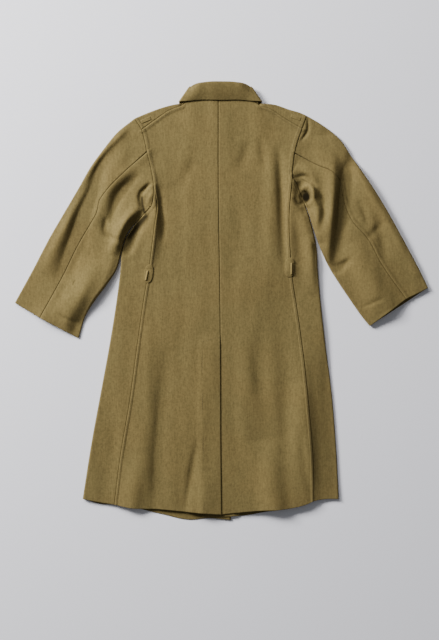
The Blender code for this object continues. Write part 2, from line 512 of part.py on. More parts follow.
def front_panel(side, name, material):
    """A front, from the lap round the side fold and over the shoulder to its seams on the back."""
    armhole = Armhole(side)
    height = left_front_height if side is LEFT else right_front_height
    seam_top = share_at(side.armhole, 5)
    middle = along(side.front_edge, [UNDERARM_LEVEL])[0]
    underarm_line = [middle, 0.5 * (middle + np.array(side.side_fold[-1])), side.side_fold[-1]]
    lower = Patch(curve(side.front_hem), curve(underarm_line), curve(side.front_edge, 0, UNDERARM_LEVEL),
                  curve(side.side_fold))
    neck_part = NECK_COLUMN / FRONT_COLUMNS
    ramp = LEFT_LAP_RAMP if side is LEFT else RIGHT_LAP_RAMP
    upper = Patch(
        curve(underarm_line),
        joined(curve(side.neckline), curve(side.shoulder_fold), neck_part),
        curve(side.front_edge, UNDERARM_LEVEL, 1),
        curve(side.front_armhole, 1, 0),
    )
    hem_at = share_at(side.back_hem, 2)
    strip = Patch(curve(side.back_hem, hem_at, 0), curve(side.armhole, seam_top, 1), curve(side.back_seam),
                  curve(side.side_fold))
    shoulder = Patch(curve(side.shoulder_fold), curve(side.shoulder_seam), curve([side.shoulder_fold[0],
                     side.shoulder_seam[0]]), curve(side.armhole, 0, share_at(side.armhole, 1)))
    strip_columns = UNDERARM_AT - BACK_SEAM_AT
    first_strip = FRONT_COLUMNS + FOLD_STEPS
    columns = first_strip + strip_columns
    rows = SEAM_ROWS + UNDER_ROWS + FOLD_STEPS + SHOULDER_SEAM_AT
    points = np.zeros((columns + 1, rows + 1, 3))
    normals = np.zeros_like(points)
    normals[..., 2] = 1
    strip_shares = (armhole.top_shares[BACK_SEAM_AT:] - seam_top) / (1 - seam_top)
    strip_shares = strip_shares / strip_shares[-1]

    for j in range(SEAM_ROWS + 1):
        v = j / SEAM_ROWS
        edge = along(side.side_fold, [v])[0]
        lower_width = np.linalg.norm(lower(0, v) - edge)
        strip_width = np.linalg.norm(strip(0, v) - edge)
        edge_height = layer_height(*edge)
        radius = roll_radius(edge_height, LOWER_LEVEL)
        s = front_columns(lower, v, ramp, neck_part) * (1 - radius / lower_width)
        low_plan = lower(s, v)
        inset = SEAM_GAP / 2 / strip_width
        s = inset + strip_shares * (1 - radius / strip_width - inset)
        high_plan = strip(s, v)
        inward = inward_from(side.side_fold, v, low_plan[0], side.side_fold[-1])
        if j < SEAM_ROWS:
            low_plan = ending_at(low_plan, edge + inward * radius)
            high_plan = ending_at(high_plan, edge + inward * radius)
        low, low_normal = surface(low_plan, height, False)
        high, high_normal = surface(high_plan, layer_height, True)
        turn, turn_normal = roll(edge, inward, inward, high[-1][2], low[-1][2], radius)
        if j == SEAM_ROWS:
            high = armhole.moved(armhole.top[BACK_SEAM_AT:], armhole.top_way[BACK_SEAM_AT:], -1)
            high[0] += (SEAM_GAP / 2) * unit(high[1] - high[0])
            high_normal = armhole.top_normal[BACK_SEAM_AT:]
            turn, turn_normal = armhole.moved(armhole.pit, armhole.pit_way, -1), armhole.pit_normal
            low[-1] = armhole.moved(armhole.under[0], armhole.under_way[0], -1)
        points[:, j] = np.vstack([low, turn[::-1], high[::-1]])
        normals[:, j] = np.vstack([low_normal, turn_normal[::-1], high_normal[::-1]])

    for k in range(1, UNDER_ROWS + 1):
        j = SEAM_ROWS + k
        v = 1 - armhole.under_shares[k]
        columns_at = front_columns(upper, v, ramp, neck_part)
        if k == UNDER_ROWS:
            v = np.where(columns_at < neck_part, 1 - SEAM_GAP, v)
        plan = upper(columns_at, v)
        low, low_normal = surface(plan, height, False)
        low[-1] = armhole.moved(armhole.under[k], armhole.under_way[k], -1)
        points[: FRONT_COLUMNS + 1, j], normals[: FRONT_COLUMNS + 1, j] = low, low_normal

    last_low = SEAM_ROWS + UNDER_ROWS
    for i in range(NECK_COLUMN, FRONT_COLUMNS + 1):
        s = (i - NECK_COLUMN) / SHOULDER_COLUMNS
        edge = along(side.shoulder_fold, [s])[0]
        seam = shoulder(s, 1)[0]
        radius = roll_radius(layer_height(*edge), height(*edge))
        width = np.linalg.norm(seam - edge)
        if i < FRONT_COLUMNS:
            before = points[i, last_low - 1][:2]
            low_plan = edge + unit(before - edge) * radius
            low, low_normal = surface(low_plan[None], height, False)
            points[i, last_low], normals[i, last_low] = low[0], low_normal[0]
        shares = armhole.top_shares[: SHOULDER_SEAM_AT + 1]
        shares = (shares - shares[0]) / (shares[-1] - shares[0])
        shares = radius / width + (1 - (radius + SEAM_GAP / 2) / width) * shares
        high_plan = np.vstack([shoulder(s, share) for share in shares])
        high, high_normal = surface(high_plan, layer_height, True)
        low_point = points[i, last_low]
        turn, turn_normal = roll(edge, unit(high_plan[0] - edge), unit(low_point[:2] - edge), high[0][2],
                                 low_point[2], radius)
        if i == FRONT_COLUMNS:
            stations = slice(0, SHOULDER_SEAM_AT + 1)
            high = armhole.moved(armhole.top[stations], armhole.top_way[stations], -1)
            high[-1] += (SEAM_GAP / 2) * unit(high[-2] - high[-1])
            high_normal = armhole.top_normal[stations]
            turn, turn_normal = armhole.moved(armhole.tip, armhole.tip_way, -1), armhole.tip_normal
        points[i, last_low + 1:] = np.vstack([turn[::-1], high])
        normals[i, last_low + 1:] = np.vstack([turn_normal[::-1], high_normal])

    def kept(i, j):
        beside_armhole = i >= FRONT_COLUMNS and j >= SEAM_ROWS
        above_neck = i < NECK_COLUMN and j >= last_low
        return not (beside_armhole or above_neck)

    return wall(name, points, normals, kept, material)


def sleeve_piece(side, name, is_top, material):
    """One of a sleeve's two pieces, from the seam behind the arm round a fold to the one below."""
    armhole = Armhole(side)
    seam_share = share_at(side.armhole, 3)
    cuff_outer, cuff_seam, cuff_inner = (points[-1] for points in
                                         (side.sleeve_outer, side.sleeve_seam, side.sleeve_inner))
    outer_zone = Patch(curve(side.armhole, 0, seam_share), curve([cuff_outer, cuff_seam]),
                       curve(side.sleeve_outer), curve(side.sleeve_seam), SLEEVE_FADE)
    inner_zone = Patch(curve(side.armhole, seam_share, 1), curve([cuff_seam, cuff_inner]),
                       curve(side.sleeve_seam), curve(side.sleeve_inner), SLEEVE_FADE)
    under_zone = Patch(curve(side.front_armhole, 1, 0), curve([cuff_inner, cuff_outer]),
                       curve(side.sleeve_inner), curve(side.sleeve_outer), SLEEVE_FADE)
    zone = outer_zone if is_top else inner_zone
    edge_line = side.sleeve_outer if is_top else side.sleeve_inner
    under_shares = 1 - armhole.under_shares
    if is_top:
        shares = armhole.top_shares[: SLEEVE_SEAM_AT + 1] / seam_share
        stations = slice(SLEEVE_SEAM_AT, None, -1)
        under = slice(UNDER_ROWS, SLEEVE_FRONT_SEAM - 1, -1)
        corner, corner_normal, corner_way = armhole.tip, armhole.tip_normal, armhole.tip_way
    else:
        shares = (armhole.top_shares[SLEEVE_SEAM_AT:] - seam_share) / (1 - seam_share)
        stations = slice(SLEEVE_SEAM_AT, UNDERARM_AT + 1)
        under = slice(0, SLEEVE_FRONT_SEAM + 1)
        corner, corner_normal, corner_way = armhole.pit, armhole.pit_normal, armhole.pit_way
    count = len(shares) + FOLD_STEPS - 1 + len(armhole.under[under])
    points = np.zeros((count, SLEEVE_ROWS + 1, 3))
    normals = np.zeros_like(points)
    for j in range(SLEEVE_ROWS + 1):
        v = j / SLEEVE_ROWS
        edge = along(edge_line, [v])[0]
        length = np.linalg.norm(zone(0, v) - zone(1, v))
        under_length = np.linalg.norm(under_zone(0, v) - under_zone(1, v))
        radius = roll_radius(layer_height(*edge), LOWER_LEVEL)
        inset = SEAM_GAP / 2 / length
        if is_top:
            s = (shares - shares[0]) / (1 - shares[0])
            s = radius / length + s * (1 - radius / length - inset)
            high_plan = zone(s, v)[::-1]
            low_shares = under_shares[under]
            first = 1 - radius / under_length
            last = under_shares[SLEEVE_FRONT_SEAM] + SEAM_GAP / 2 / under_length
        else:
            s = shares / shares[-1]
            s = inset + s * (1 - radius / length - inset)
            high_plan = zone(s, v)
            low_shares = under_shares[under]
            first = radius / under_length
            last = under_shares[SLEEVE_FRONT_SEAM] - SEAM_GAP / 2 / under_length
        spread = (low_shares - low_shares[0]) / (low_shares[-1] - low_shares[0])
        low_plan = under_zone(first + (last - first) * spread, v)
        inward = inward_from(edge_line, v, low_plan[-1], side.side_fold[-1])
        if j > 0:
            high_plan = ending_at(high_plan, edge + inward * radius)
            low_plan = ending_at(low_plan[::-1], edge + inward * radius)[::-1]
        high, high_normal = surface(high_plan, layer_height, True)
        low, low_normal = surface(low_plan, sleeve_under_height, False)
        turn, turn_normal = roll(edge, inward, inward, high[-1][2], low[0][2], radius)
        if j == 0:
            along_seam = np.array([*(SEAM_GAP / 2 * unit(high_plan[1] - high_plan[0])), 0])
            along_under = np.array([*(SEAM_GAP / 2 * unit(low_plan[-2] - low_plan[-1])), 0])
            high = armhole.moved(armhole.top[stations], armhole.top_way[stations], 1)
            high[0] += along_seam
            high_normal = armhole.top_normal[stations]
            turn, turn_normal = armhole.moved(corner, corner_way, 1), corner_normal
            low = armhole.moved(armhole.under[under], armhole.under_way[under], 1)
            low[-1] += along_under
        points[:, j] = np.vstack([high, turn, low])
        normals[:, j] = np.vstack([high_normal, turn_normal, low_normal])
    return wall(name, points, normals, lambda i, j: True, material)


def beside(points, shares, gap):
    """Points at shares of a neck curve, moved by a gap into the neck opening."""
    shares = np.asarray(shares, float)
    plan = along(points, shares)
    tangent = unit(along(points, shares + 1e-3) - along(points, shares - 1e-3))
    across = np.column_stack([-tangent[:, 1], tangent[:, 0]])
    across = across * np.sign(across[:, 1])[:, None]
    return [tuple(p) for p in plan + across * gap]


def collar_ring(front, back, low, high, trims=None):
    """One line of the collar all the way round: flat under the coat, turned at each side and flat on top.

    front holds a curve for each half from the centre front to the side, back is one from side to side, and
    low and high give their heights. With trims, the flat stretches end as if these were the radii of the
    turns, and the turns stand out further. Returns the ring's points and the radii of its turns.
    """
    front_cells, back_cells = (NECK_COLUMN - 1) * FINER, 2 * NECK_COLUMNS * FINER
    radii = [(high(along(back, [end]))[0] - low[half](along(front[half], [BEFORE_TURN]))[0]) / 2
             for half, end in enumerate((0, 1))]
    trims = radii if trims is None else trims
    unders = []
    for half in (0, 1):
        end = 1 - trims[half] / chord_length(front[half])
        plan = along(front[half], np.linspace(0, end, front_cells + 1))
        unders.append(np.column_stack([plan, low[half](plan)]))
    length = chord_length(back)
    plan = along(back, np.linspace(trims[0] / length, 1 - trims[1] / length, back_cells + 1))
    tops = np.column_stack([plan, high(plan)])
    return turned_ring(unders, tops, [back[0], back[-1]], radii, trims), radii


def turned_ring(unders, tops, sides, radii, trims):
    turns = []
    for half, near in ((0, tops[0]), (1, tops[-1])):
        side_point, last = np.array(sides[half]), unders[half][-1]
        over, below = unit(near[:2] - side_point), unit(last[:2] - side_point)
        edge = side_point - unit(over + below) * (radii[half] - trims[half])
        turn, _ = roll(edge, over, below, near[2], last[2], radii[half], FOLD_STEPS * FINER)
        turns.append(turn)
    return np.vstack([unders[0], turns[0][::-1], tops, turns[1], unders[1][::-1]])


def stand_foot(low, high):
    """The stand's foot, beside the same stations of the neckline as the fronts and backs have."""
    unders, tops = [], []
    cells = NECK_COLUMN - 1
    for half, side in enumerate((LEFT, RIGHT)):
        ramp = (LEFT_LAP_RAMP, RIGHT_LAP_RAMP)[half]
        stations = front_columns(lambda s, v: along(side.neckline, s), 1, ramp, 1)[1:NECK_COLUMN + 1]
        shares = np.interp(np.linspace(0, cells, cells * FINER + 1), np.arange(cells + 1), stations)
        plan = np.array(beside(side.neckline, shares * (1 - NECK_SIDE_SHARE), COLLAR_GAP))
        unders.append(np.column_stack([plan, low[half](plan)]))
        plan = beside(side.back_neck, np.linspace(NECK_SIDE_SHARE, 1, NECK_COLUMNS * FINER + 1), COLLAR_GAP)
        tops.append(np.array(plan))
    plan = np.vstack([tops[0], tops[1][-2::-1]])
    tops = np.column_stack([plan, high(plan)])
    sides = [STAND_SIDE, (-STAND_SIDE[0], STAND_SIDE[1])]
    radii = [(tops[end][2] - unders[half][-1][2]) / 2 for half, end in enumerate((0, -1))]
    return turned_ring(unders, tops, sides, radii, radii)


def chord_length(points):
    return np.linalg.norm(np.diff(np.asarray(points, float), axis=0), axis=1).sum()


def both_sides(points):
    return [points, [(-x, y) for x, y in points]]


def side_to_side(points):
    return points + [(-x, y) for x, y in points[-2::-1]]


def collar(material):
    """The stand and the fall, worked out together round the neck and parted below the fold."""

    def over_back(loft):
        return lambda plan: layer_height(plan[:, 0], np.minimum(plan[:, 1], BACK_NECK_Y)) + loft

    def front_foot(height):
        return lambda plan: height(plan[:, 0], np.minimum(plan[:, 1], FRONT_NECK_Y))

    def on_floor(plan):
        return np.full(len(plan), LOWER_LEVEL)

    on_fronts = [front_foot(left_front_height), front_foot(right_front_height)]
    seams = stand_foot(on_fronts, over_back(0))
    fold_front = both_sides([*STAND_TOP_FRONT, STAND_TOP_SIDE])
    fold_back = side_to_side([STAND_TOP_SIDE, *STAND_TOP_BACK])
    stand_tops, trims = collar_ring(fold_front, fold_back, on_fronts, over_back(0))
    fall_tops, _ = collar_ring(fold_front, fold_back, [on_floor] * 2, over_back(LAYER + FALL_LOFT[0]), trims)
    edges, _ = collar_ring(both_sides([*FALL_EDGE_FRONT, FALL_EDGE_SIDE]),
                           side_to_side([FALL_EDGE_SIDE, *FALL_EDGE_BACK]), [on_floor] * 2,
                           over_back(LAYER + FALL_LOFT[1]))
    centres, halfway = (stand_tops + fall_tops) / 2, (stand_tops - fall_tops) / 2
    radii = np.linalg.norm(halfway, axis=1, keepdims=True)
    away = stand_tops - seams
    for other in (unit(np.gradient(stand_tops, axis=0)), halfway / radii):
        away = away - other * (away * other).sum(axis=1, keepdims=True)
    away = unit(away)
    turns = np.pi * np.arange(FOLD_STEPS * FINER + 1) / (FOLD_STEPS * FINER)
    stand_shares = np.arange(STAND_COLUMNS * FINER) / (STAND_COLUMNS * FINER)
    fall_shares = np.arange(1, FALL_COLUMNS * FINER + 1) / (FALL_COLUMNS * FINER)
    section = [seams + (stand_tops - seams) * share for share in stand_shares]
    section += [centres + halfway * math.cos(turn) + away * radii * math.sin(turn) for turn in turns]
    section += [fall_tops + (edges - fall_tops) * share for share in fall_shares]
    points = np.stack(section)
    normals = unit(np.cross(np.gradient(points, axis=1), np.gradient(points, axis=0)))
    if normals[-1, points.shape[1] // 2, 2] < 0:
        normals = -normals
    fold_row = STAND_COLUMNS * FINER
    square = unit(np.cross(normals[fold_row], np.gradient(points[fold_row], axis=0)))[::FINER]
    points, normals = points[::FINER, ::FINER], normals[::FINER, ::FINER]
    stand = points[: STAND_COLUMNS + 1].copy()
    to_seam = np.sign((square * (stand[-2] - stand[-1])).sum(axis=1, keepdims=True))
    stand[-1] += square * to_seam * STAND_SEAM_GAP
    wall("collar_stand", stand, normals[: STAND_COLUMNS + 1], lambda i, j: True, material)
    wall("collar_fall", points[STAND_COLUMNS:], normals[STAND_COLUMNS:], lambda i, j: True, material)


def belt_loop(side, name, loop_y, material):
    """A band of cloth sewn on a back seam at both ends, which arches a little off the cloth."""
    seam = np.array(side.back_seam)
    centre_x = np.interp(loop_y, seam[:, 1], seam[:, 0])
    lengths, widths = np.linspace(-0.5, 0.5, 9), np.linspace(-0.5, 0.5, 3)
    points = np.zeros((len(widths), len(lengths), 3))
    normals = np.zeros_like(points)
    for i, across in enumerate(widths):
        rounding = np.sqrt(1 - (1 - LOOP_END_WIDTH**2) * (2 * lengths) ** 2)
        plan = np.column_stack([
            centre_x + LOOP_SHIFT + across * LOOP_WIDTH * rounding,
            loop_y + lengths * LOOP_LENGTH,
        ])
        base, normals[i] = surface(plan, layer_height, True)
        arch = LAYER + LOOP_RISE * np.cos(np.pi * lengths) ** 2
        points[i] = base + normals[i] * arch[:, None]
    return wall(name, points, normals, lambda i, j: True, material)


def shoulder_tab(side, name, material):
    """A small flat loop for a shoulder mark, sewn beside the armhole."""
    ends = along(side.shoulder_fold, [TAB_SHARE, TAB_SHARE + 0.05])
    run = unit(ends[1] - ends[0])
    across = np.array([run[1], -run[0]]) * (1 if side is RIGHT else -1)
    points = np.zeros((5, 3, 3))
    normals = np.zeros_like(points)
    for i, a in enumerate(np.linspace(-0.5, 0.5, 5)):
        for j, b in enumerate(np.linspace(-0.5, 0.5, 3)):
            plan = ends[0] + run * a * TAB_SIZE[0] + across * (TAB_IN + b * TAB_SIZE[1])
            base, normal = surface(plan[None], layer_height, True)
            normals[i, j] = normal[0]
            points[i, j] = base[0] + normal[0] * LAYER
    return wall(name, points, normals, lambda i, j: True, material)


def button(number, button_y, material):
    """A plain disc with a rounded rim, on the outside of the lap and so next to the surface."""
    mesh_builder = bmesh.new()
    bmesh.ops.create_cone(mesh_builder, cap_ends=True, segments=BUTTON_SEGMENTS, radius1=BUTTON_RADIUS,
                          radius2=BUTTON_RADIUS, depth=BUTTON_HEIGHT)
    rims = [e for e in mesh_builder.edges if abs(e.verts[0].co.z - e.verts[1].co.z) < 1e-6]
    bmesh.ops.bevel(mesh_builder, geom=rims, offset=BUTTON_BEVEL, segments=1, affect="EDGES")
    bmesh.ops.translate(mesh_builder, verts=mesh_builder.verts[:],
                        vec=(BUTTON_X, button_y, BUTTON_HEIGHT / 2))
    return finish(f"button_{number}", mesh_builder, material)


def make_material(name, colour, roughness):
    material = bpy.data.materials.new(name)
    material.use_nodes = True
    shader = material.node_tree.nodes["Principled BSDF"]
    shader.inputs["Base Color"].default_value = colour
    shader.inputs["Roughness"].default_value = roughness
    shader.inputs["Metallic"].default_value = 0.0
    return material


def main():
    for old in list(bpy.data.objects):
        bpy.data.objects.remove(old)
    wool = make_material("wool_cloth", WOOL, 0.95)
    horn = make_material("horn", HORN, 0.45)
    for side, word in ((LEFT, "left"), (RIGHT, "right")):
        back_panel(side, f"back_{word}", wool)
        front_panel(side, f"front_{word}", wool)
        sleeve_piece(side, f"topsleeve_{word}", True, wool)
        sleeve_piece(side, f"undersleeve_{word}", False, wool)
        belt_loop(side, f"belt_loop_{word}", LOOP_Y[word], wool)
        shoulder_tab(side, f"shoulder_tab_{word}", wool)
    collar(wool)
    for number, button_y in enumerate(BUTTON_YS, 1):
        button(number, button_y, horn)


main()
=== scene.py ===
"""Finished cloth, seams, buttons and stage for a military greatcoat laid flat on its front.

Laid out as a Blender add-on and run as a script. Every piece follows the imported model's own lines, which are
repeated here: X runs across the coat, Y from the hem to the collar and Z up from the surface it lies on. Numbers are
in metres, and those of the folds' tables and of the lines given to mm in millimetres.
"""

import math
from collections import namedtuple

import bmesh
import bpy
import numpy as np
from mathutils import Matrix, Vector
from mathutils.kdtree import KDTree


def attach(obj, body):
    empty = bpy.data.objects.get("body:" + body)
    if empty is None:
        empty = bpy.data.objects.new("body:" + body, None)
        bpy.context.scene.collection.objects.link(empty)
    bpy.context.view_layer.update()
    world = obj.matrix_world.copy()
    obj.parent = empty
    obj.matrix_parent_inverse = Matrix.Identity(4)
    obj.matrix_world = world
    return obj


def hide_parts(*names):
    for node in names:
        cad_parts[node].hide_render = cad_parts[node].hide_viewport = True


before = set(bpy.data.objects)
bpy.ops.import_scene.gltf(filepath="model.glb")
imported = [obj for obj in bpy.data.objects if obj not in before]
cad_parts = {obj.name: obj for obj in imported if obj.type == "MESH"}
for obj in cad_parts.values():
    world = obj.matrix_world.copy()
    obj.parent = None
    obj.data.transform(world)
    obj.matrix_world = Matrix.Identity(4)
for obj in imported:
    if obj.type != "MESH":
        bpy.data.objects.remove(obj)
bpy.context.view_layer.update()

bl_info = {
    "name": "Military greatcoat",
    "version": (1, 0, 0),
    "blender": (4, 5, 0),
    "location": "3D View > Sidebar > Greatcoat",
    "description": "Builds the cloth, seams, buttons and stage of a greatcoat laid flat on its front",
    "category": "Add Mesh",
}


def mm(*numbers):
    """Points in metres, from pairs of x and y in millimetres."""
    return [(x / 1000, y / 1000) for x, y in zip(numbers[::2], numbers[1::2])]


# Cloth and how it lies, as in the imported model, in metres
CLOTH = 0.0020
SEAM_GAP = 0.0003
LAYER = CLOTH + SEAM_GAP
LOWER_LEVEL = CLOTH / 2
UPPER_LEVEL = 0.0069
LEAST_LEVEL = 0.0037
LEVEL_SOFTNESS = 0.001
ROLL_RADII = (0.0015, 0.0055)

# Where the fronts rise onto each other at the lap, the rise along the middle of the back, how cloth at a fold leans
# towards the underarm, and the plan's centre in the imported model
LEFT_LAP_RAMP = (-0.052, -0.030)
RIGHT_LAP_RAMP = (0.056, 0.031)
MIDDLE_RISE = 0.0018
MIDDLE_RISE_X = (0.130, 0.072)
PIT_LEAN = 0.7
PIT_REACH = 0.090
PLAN_CENTRE = (0.0025, 0.0046)

# Counts of cells along each stretch of a panel
FINE = 8
SEAM_ROWS = 236
BACK_ROWS = 290
BACK_COLUMNS = 84
FRONT_CELLS = 12
FRONT_SHOULDER_CELLS = 4
FRONT_ROW_SAMPLES = 201
FRONT_COLUMNS = 60
NECK_COLUMN = 40
UNDER_ROWS = 28
SLEEVE_ROWS = 150
SLEEVE_FRONT_SEAM = 8
FOLD_STEPS = 12
SLEEVE_FADE = 4
BACK_SEAM_PART = 0.80
BACK_SHOULDER_PART = 0.55
UNDERARM_LEVEL = 0.79

# The points of an armhole's line, and of a hem's, at which seams meet them
SHOULDER_KNOT, SLEEVE_KNOT, BACK_KNOT, UNDERARM_KNOT = 1, 3, 5, 7
HEM_KNOT = 2

# Stations along the back of the armhole, counted from the shoulder fold to the underarm
SHOULDER_SEAM_AT = 2 * FINE
SLEEVE_SEAM_AT = 6 * FINE
BACK_SEAM_AT = 11 * FINE
UNDERARM_AT = 15 * FINE
KNOT_STATIONS = {0: 0, SHOULDER_KNOT: SHOULDER_SEAM_AT, SLEEVE_KNOT: SLEEVE_SEAM_AT, BACK_KNOT: BACK_SEAM_AT,
                 UNDERARM_KNOT: UNDERARM_AT}

# How finely the panels are divided near their edges, as distances from the edge
NEAR_HEM = [0, 0.0004, 0.0010, 0.0020, 0.0035]
NEAR_LAP = [0, 0.0004, 0.0010, 0.0019, 0.0030, 0.0042, 0.0050, 0.0058, 0.0067, 0.0077, 0.0092, 0.0115]
NEAR_ARMHOLE = [0, 0.0008, 0.0018, 0.0030, 0.0045, 0.0060, 0.0078, 0.0098, 0.0120, 0.0144, 0.0168, 0.0194, 0.0220,
                0.0248, 0.0276, 0.0306, 0.0336]
NEAR_SIDE_POWER = 1.8
NEAR_RING = 0.85
NEAR_CENTRE = [0, 0.0004, 0.0010, 0.0019, 0.0030, 0.0045, 0.0065]
VENT_TOP_SHARE = 0.4
UNDERLAP_COLUMNS = 10

# How a wall of cloth thins towards its edge: over what distance, to what share, and how finely the edge is followed
EDGE_ROUND = 0.0010
EDGE_SHARE = 0.30
RIM_STEP = 0.0008

# The steps along a curve, and along the line of a fold, from which its direction is taken, and the shortest vector
TANGENT_STEP = 1e-3
FOLD_TANGENT_STEP = 0.01
SHORTEST = 1e-12

# The collar's counts of cells, from the foot of the stand to the edge of the fall and round the neck
STAND_CELLS = 10
COLLAR_FOLD = 20
FALL_CELLS = 18
COLLAR_FRONT_CELLS = 36
COLLAR_BACK_CELLS = 64
COLLAR_TURN = 20

# The oval of each belt loop, and the band that stands up on it from one share of its length to another
Loop = namedtuple("Loop", "centre half lean band_x band_lean band_low band_high slot")
LOOPS = {
    "left": Loop((-0.1798, 0.0729), (0.0112, 0.0232), 0.0028, -0.0035, 0.0046, -0.70, 0.30, 0.0050),
    "right": Loop((0.1728, 0.0886), (0.0126, 0.0244), 0.0004, 0.0045, 0.0, -0.72, 0.42, 0.0110),
}

# A loop's height over the cloth, its dome, thickness and cells, how blunt its ends are, and its band, how much
# lighter the band is painted, and its slot
LOOP_LOFT = 0.0021
LOOP_DOME = 0.0014
LOOP_CLOTH = 0.0016
LOOP_CELLS = (72, 52)
LOOP_BLUNTNESS = (3.0, 0.18)
BAND_WIDTH = 0.0017
BAND_ENDS = 0.06
BAND_RISE = 0.0026
BAND_LIGHTENING = 8.0
SLOT_DEPTH = 0.0010
SLOT_START = (0.0016, 0.0028)
SLOT_END = 0.0012

# The lines of one half of the coat, in the plan
Side = namedtuple(
    "Side",
    "side_fold back_seam armhole front_armhole shoulder_fold shoulder_seam sleeve_outer sleeve_seam sleeve_inner"
    " neckline front_edge front_hem back_hem back_neck",
)
LEFT = Side(
    side_fold=mm(-344, -490, -321, -345, -299, -225, -276, -100, -259, 8, -249, 88, -246.5, 125, -237.5, 160,
                 -217.5, 191, -190, 222),
    back_seam=mm(-265, -504.5, -250, -385, -226, -243, -206, -95, -191, 10, -176, 100, -164, 193, -158, 242,
                 -166.5, 292),
    armhole=mm(-214.5, 461, -197, 433, -189, 405, -183.5, 378, -173, 335, -166.5, 292, -172, 243.5, -190, 222),
    front_armhole=mm(-214.5, 461, -192, 400, -178, 330, -171, 280, -173.5, 243.5, -190, 222),
    shoulder_fold=mm(-99, 498.5, -121, 494.5, -151, 486, -184, 474, -214.5, 461),
    shoulder_seam=mm(-96.5, 493.5, -126, 482.5, -160, 460, -197, 433),
    sleeve_outer=mm(-214.5, 461, -256, 427, -289, 387.5, -319, 347.5, -354, 287.5, -389, 227.5, -424, 167.5,
                    -466, 87.5, -514, 0),
    sleeve_seam=mm(-183.5, 378, -242, 325, -286, 279, -303, 255, -309, 226, -324, 200, -356, 145, -394, 67.5,
                   -451, -37.5),
    sleeve_inner=mm(-190, 222, -208, 206, -226, 186, -240.5, 159.5, -250, 122.5, -260, 86.5, -284, 47.5, -314, 7.5,
                    -339, -32.5, -356, -87.5),
    neckline=mm(26, 418, 0, 418, -31, 424.5, -60, 441, -88, 470, -99, 498.5),
    front_edge=mm(26, -543, 26, 418),
    front_hem=mm(26, -543, -36, -538.5, -71, -542.5, -151, -527.5, -250, -506, -308, -502, -344, -490),
    back_hem=mm(-344, -490, -308, -497.5, -265, -504.5, -226, -512, -151, -516, -94, -521.5, 3, -528.5),
    back_neck=mm(-96.5, 493.5, -78, 507, -45, 512.5, -5, 515),
)
RIGHT = Side(
    side_fold=mm(295, -490, 287, -345, 277, -225, 261, -100, 249, 8, 242, 88, 239, 138, 228.8, 186, 215, 232,
                 203.5, 264),
    back_seam=mm(233, -495.5, 231, -395, 221, -270, 208, -137.5, 190, -5, 179, 65, 174, 133, 171, 205, 179.5, 318),
    armhole=mm(215.5, 467.5, 204, 436, 193, 405, 185, 374.5, 181, 345, 179.5, 318, 191.5, 294, 203.5, 264),
    front_armhole=mm(215.5, 467.5, 194, 410, 182, 360, 184, 312, 203.5, 264),
    shoulder_fold=mm(99, 498.5, 134, 495.5, 174, 482.5, 198, 475.5, 215.5, 467.5),
    shoulder_seam=mm(96.5, 493.5, 126, 484, 162, 461, 204, 436),
    sleeve_outer=mm(215.5, 467.5, 250, 447, 299, 407.5, 326, 367.5, 354, 327.5, 406, 247.5, 451, 167.5, 494, 87.5,
                    519, 37.5),
    sleeve_seam=mm(185, 374.5, 244, 343.5, 277, 328.5, 299, 305, 306, 268, 328.5, 207.5, 369, 160, 401, 101,
                   464, 10),
    sleeve_inner=mm(203.5, 264, 217, 236, 229.8, 195, 242.5, 157.5, 254.5, 127.5, 274, 87.5, 299, 47.5, 326, 7.5,
                    354, -32.5, 374, -57.5),
    neckline=mm(-45, 418, 0, 418, 31, 424.5, 60, 441, 88, 470, 99, 498.5),
    front_edge=mm(-45, -534, -45, 418),
    front_hem=mm(-45, -534, 29, -534, 74, -530, 101, -525, 200, -509, 250, -489, 295, -490),
    back_hem=mm(295, -490, 262, -490.5, 233, -495.5, 212.5, -504, 180, -512, 102, -518.5, 3, -528.5),
    back_neck=mm(96.5, 493.5, 78, 508, 45, 513.5, -5, 515),
)
SIDES = ((LEFT, "left"), (RIGHT, "right"))

# The seam down the middle of the back, and the vent: the underlap's width and where the left back rises over it
CENTRE_SEAM = mm(3, -528.5, 1, -345, 0, -105, -1, 8, -5, 300, -5, 515)
VENT_UNDERLAP = 0.036
VENT_RAMP_X = (-0.062, -0.042)
VENT_RAMP_Y = (-0.070, -0.108)

# Folds of the upper layer, in millimetres. Each follows a curve from its start through its bend to its end, rises
# by rise, and falls away over the width to its left and to its right as seen from its start.
Fold = namedtuple("Fold", "start_x start_y bend_x bend_y end_x end_y rise left right")
FOLDS = [
    (-235, 440, -331, 285, -445, 75, 10, 26, 16),
    (-190, 345, -270, 290, -300, 190, 6, 20, 26),
    (-190, 262, -234, 218, -270, 140, 8, 22, 28),
    (-262, 150, -290, 60, -350, -60, 7, 16, 34),
    (-170, 340, -162, 235, -176, 85, 8.5, 14, 26),
    (-176, 240, -198, 185, -222, 110, 6, 22, 14),
    (-172, 262, -192, 224, -222, 184, -5.5, 18, 18),
    (-185, -60, -188, -270, -215, -560, 5, 26, 40),
    (135, 430, 130, 290, 132, 40, 5, 36, 20),
    (182, 420, 172, 270, 180, 20, 5.5, 16, 20),
    (187, 340, 222, 322, 236, 262, 8.5, 18, 14),
    (232, 290, 243, 225, 246, 150, 10, 18, 14),
    (176, 310, 192, 250, 212, 170, 6, 16, 18),
    (192, 304, 204, 264, 220, 222, -8, 14, 14),
    (268, 420, 278, 300, 286, 85, 13, 22, 34),
    (300, 405, 380, 260, 490, 60, 5, 16, 26),
    (310, 200, 340, 110, 410, -20, 5, 34, 30),
    (66, -20, 64, -200, 58, -420, 3.5, 30, 30),
    (190, -200, 192, -340, 190, -560, 5, 34, 26),
]

# How finely a fold's curve is followed, to how many widths it reaches, and how bluntly large and fine ones end
FOLD_SAMPLES = 16
FOLD_WIDTHS = 2.6
MAIN_ENDING, FINE_ENDING = 0.7, 0.9

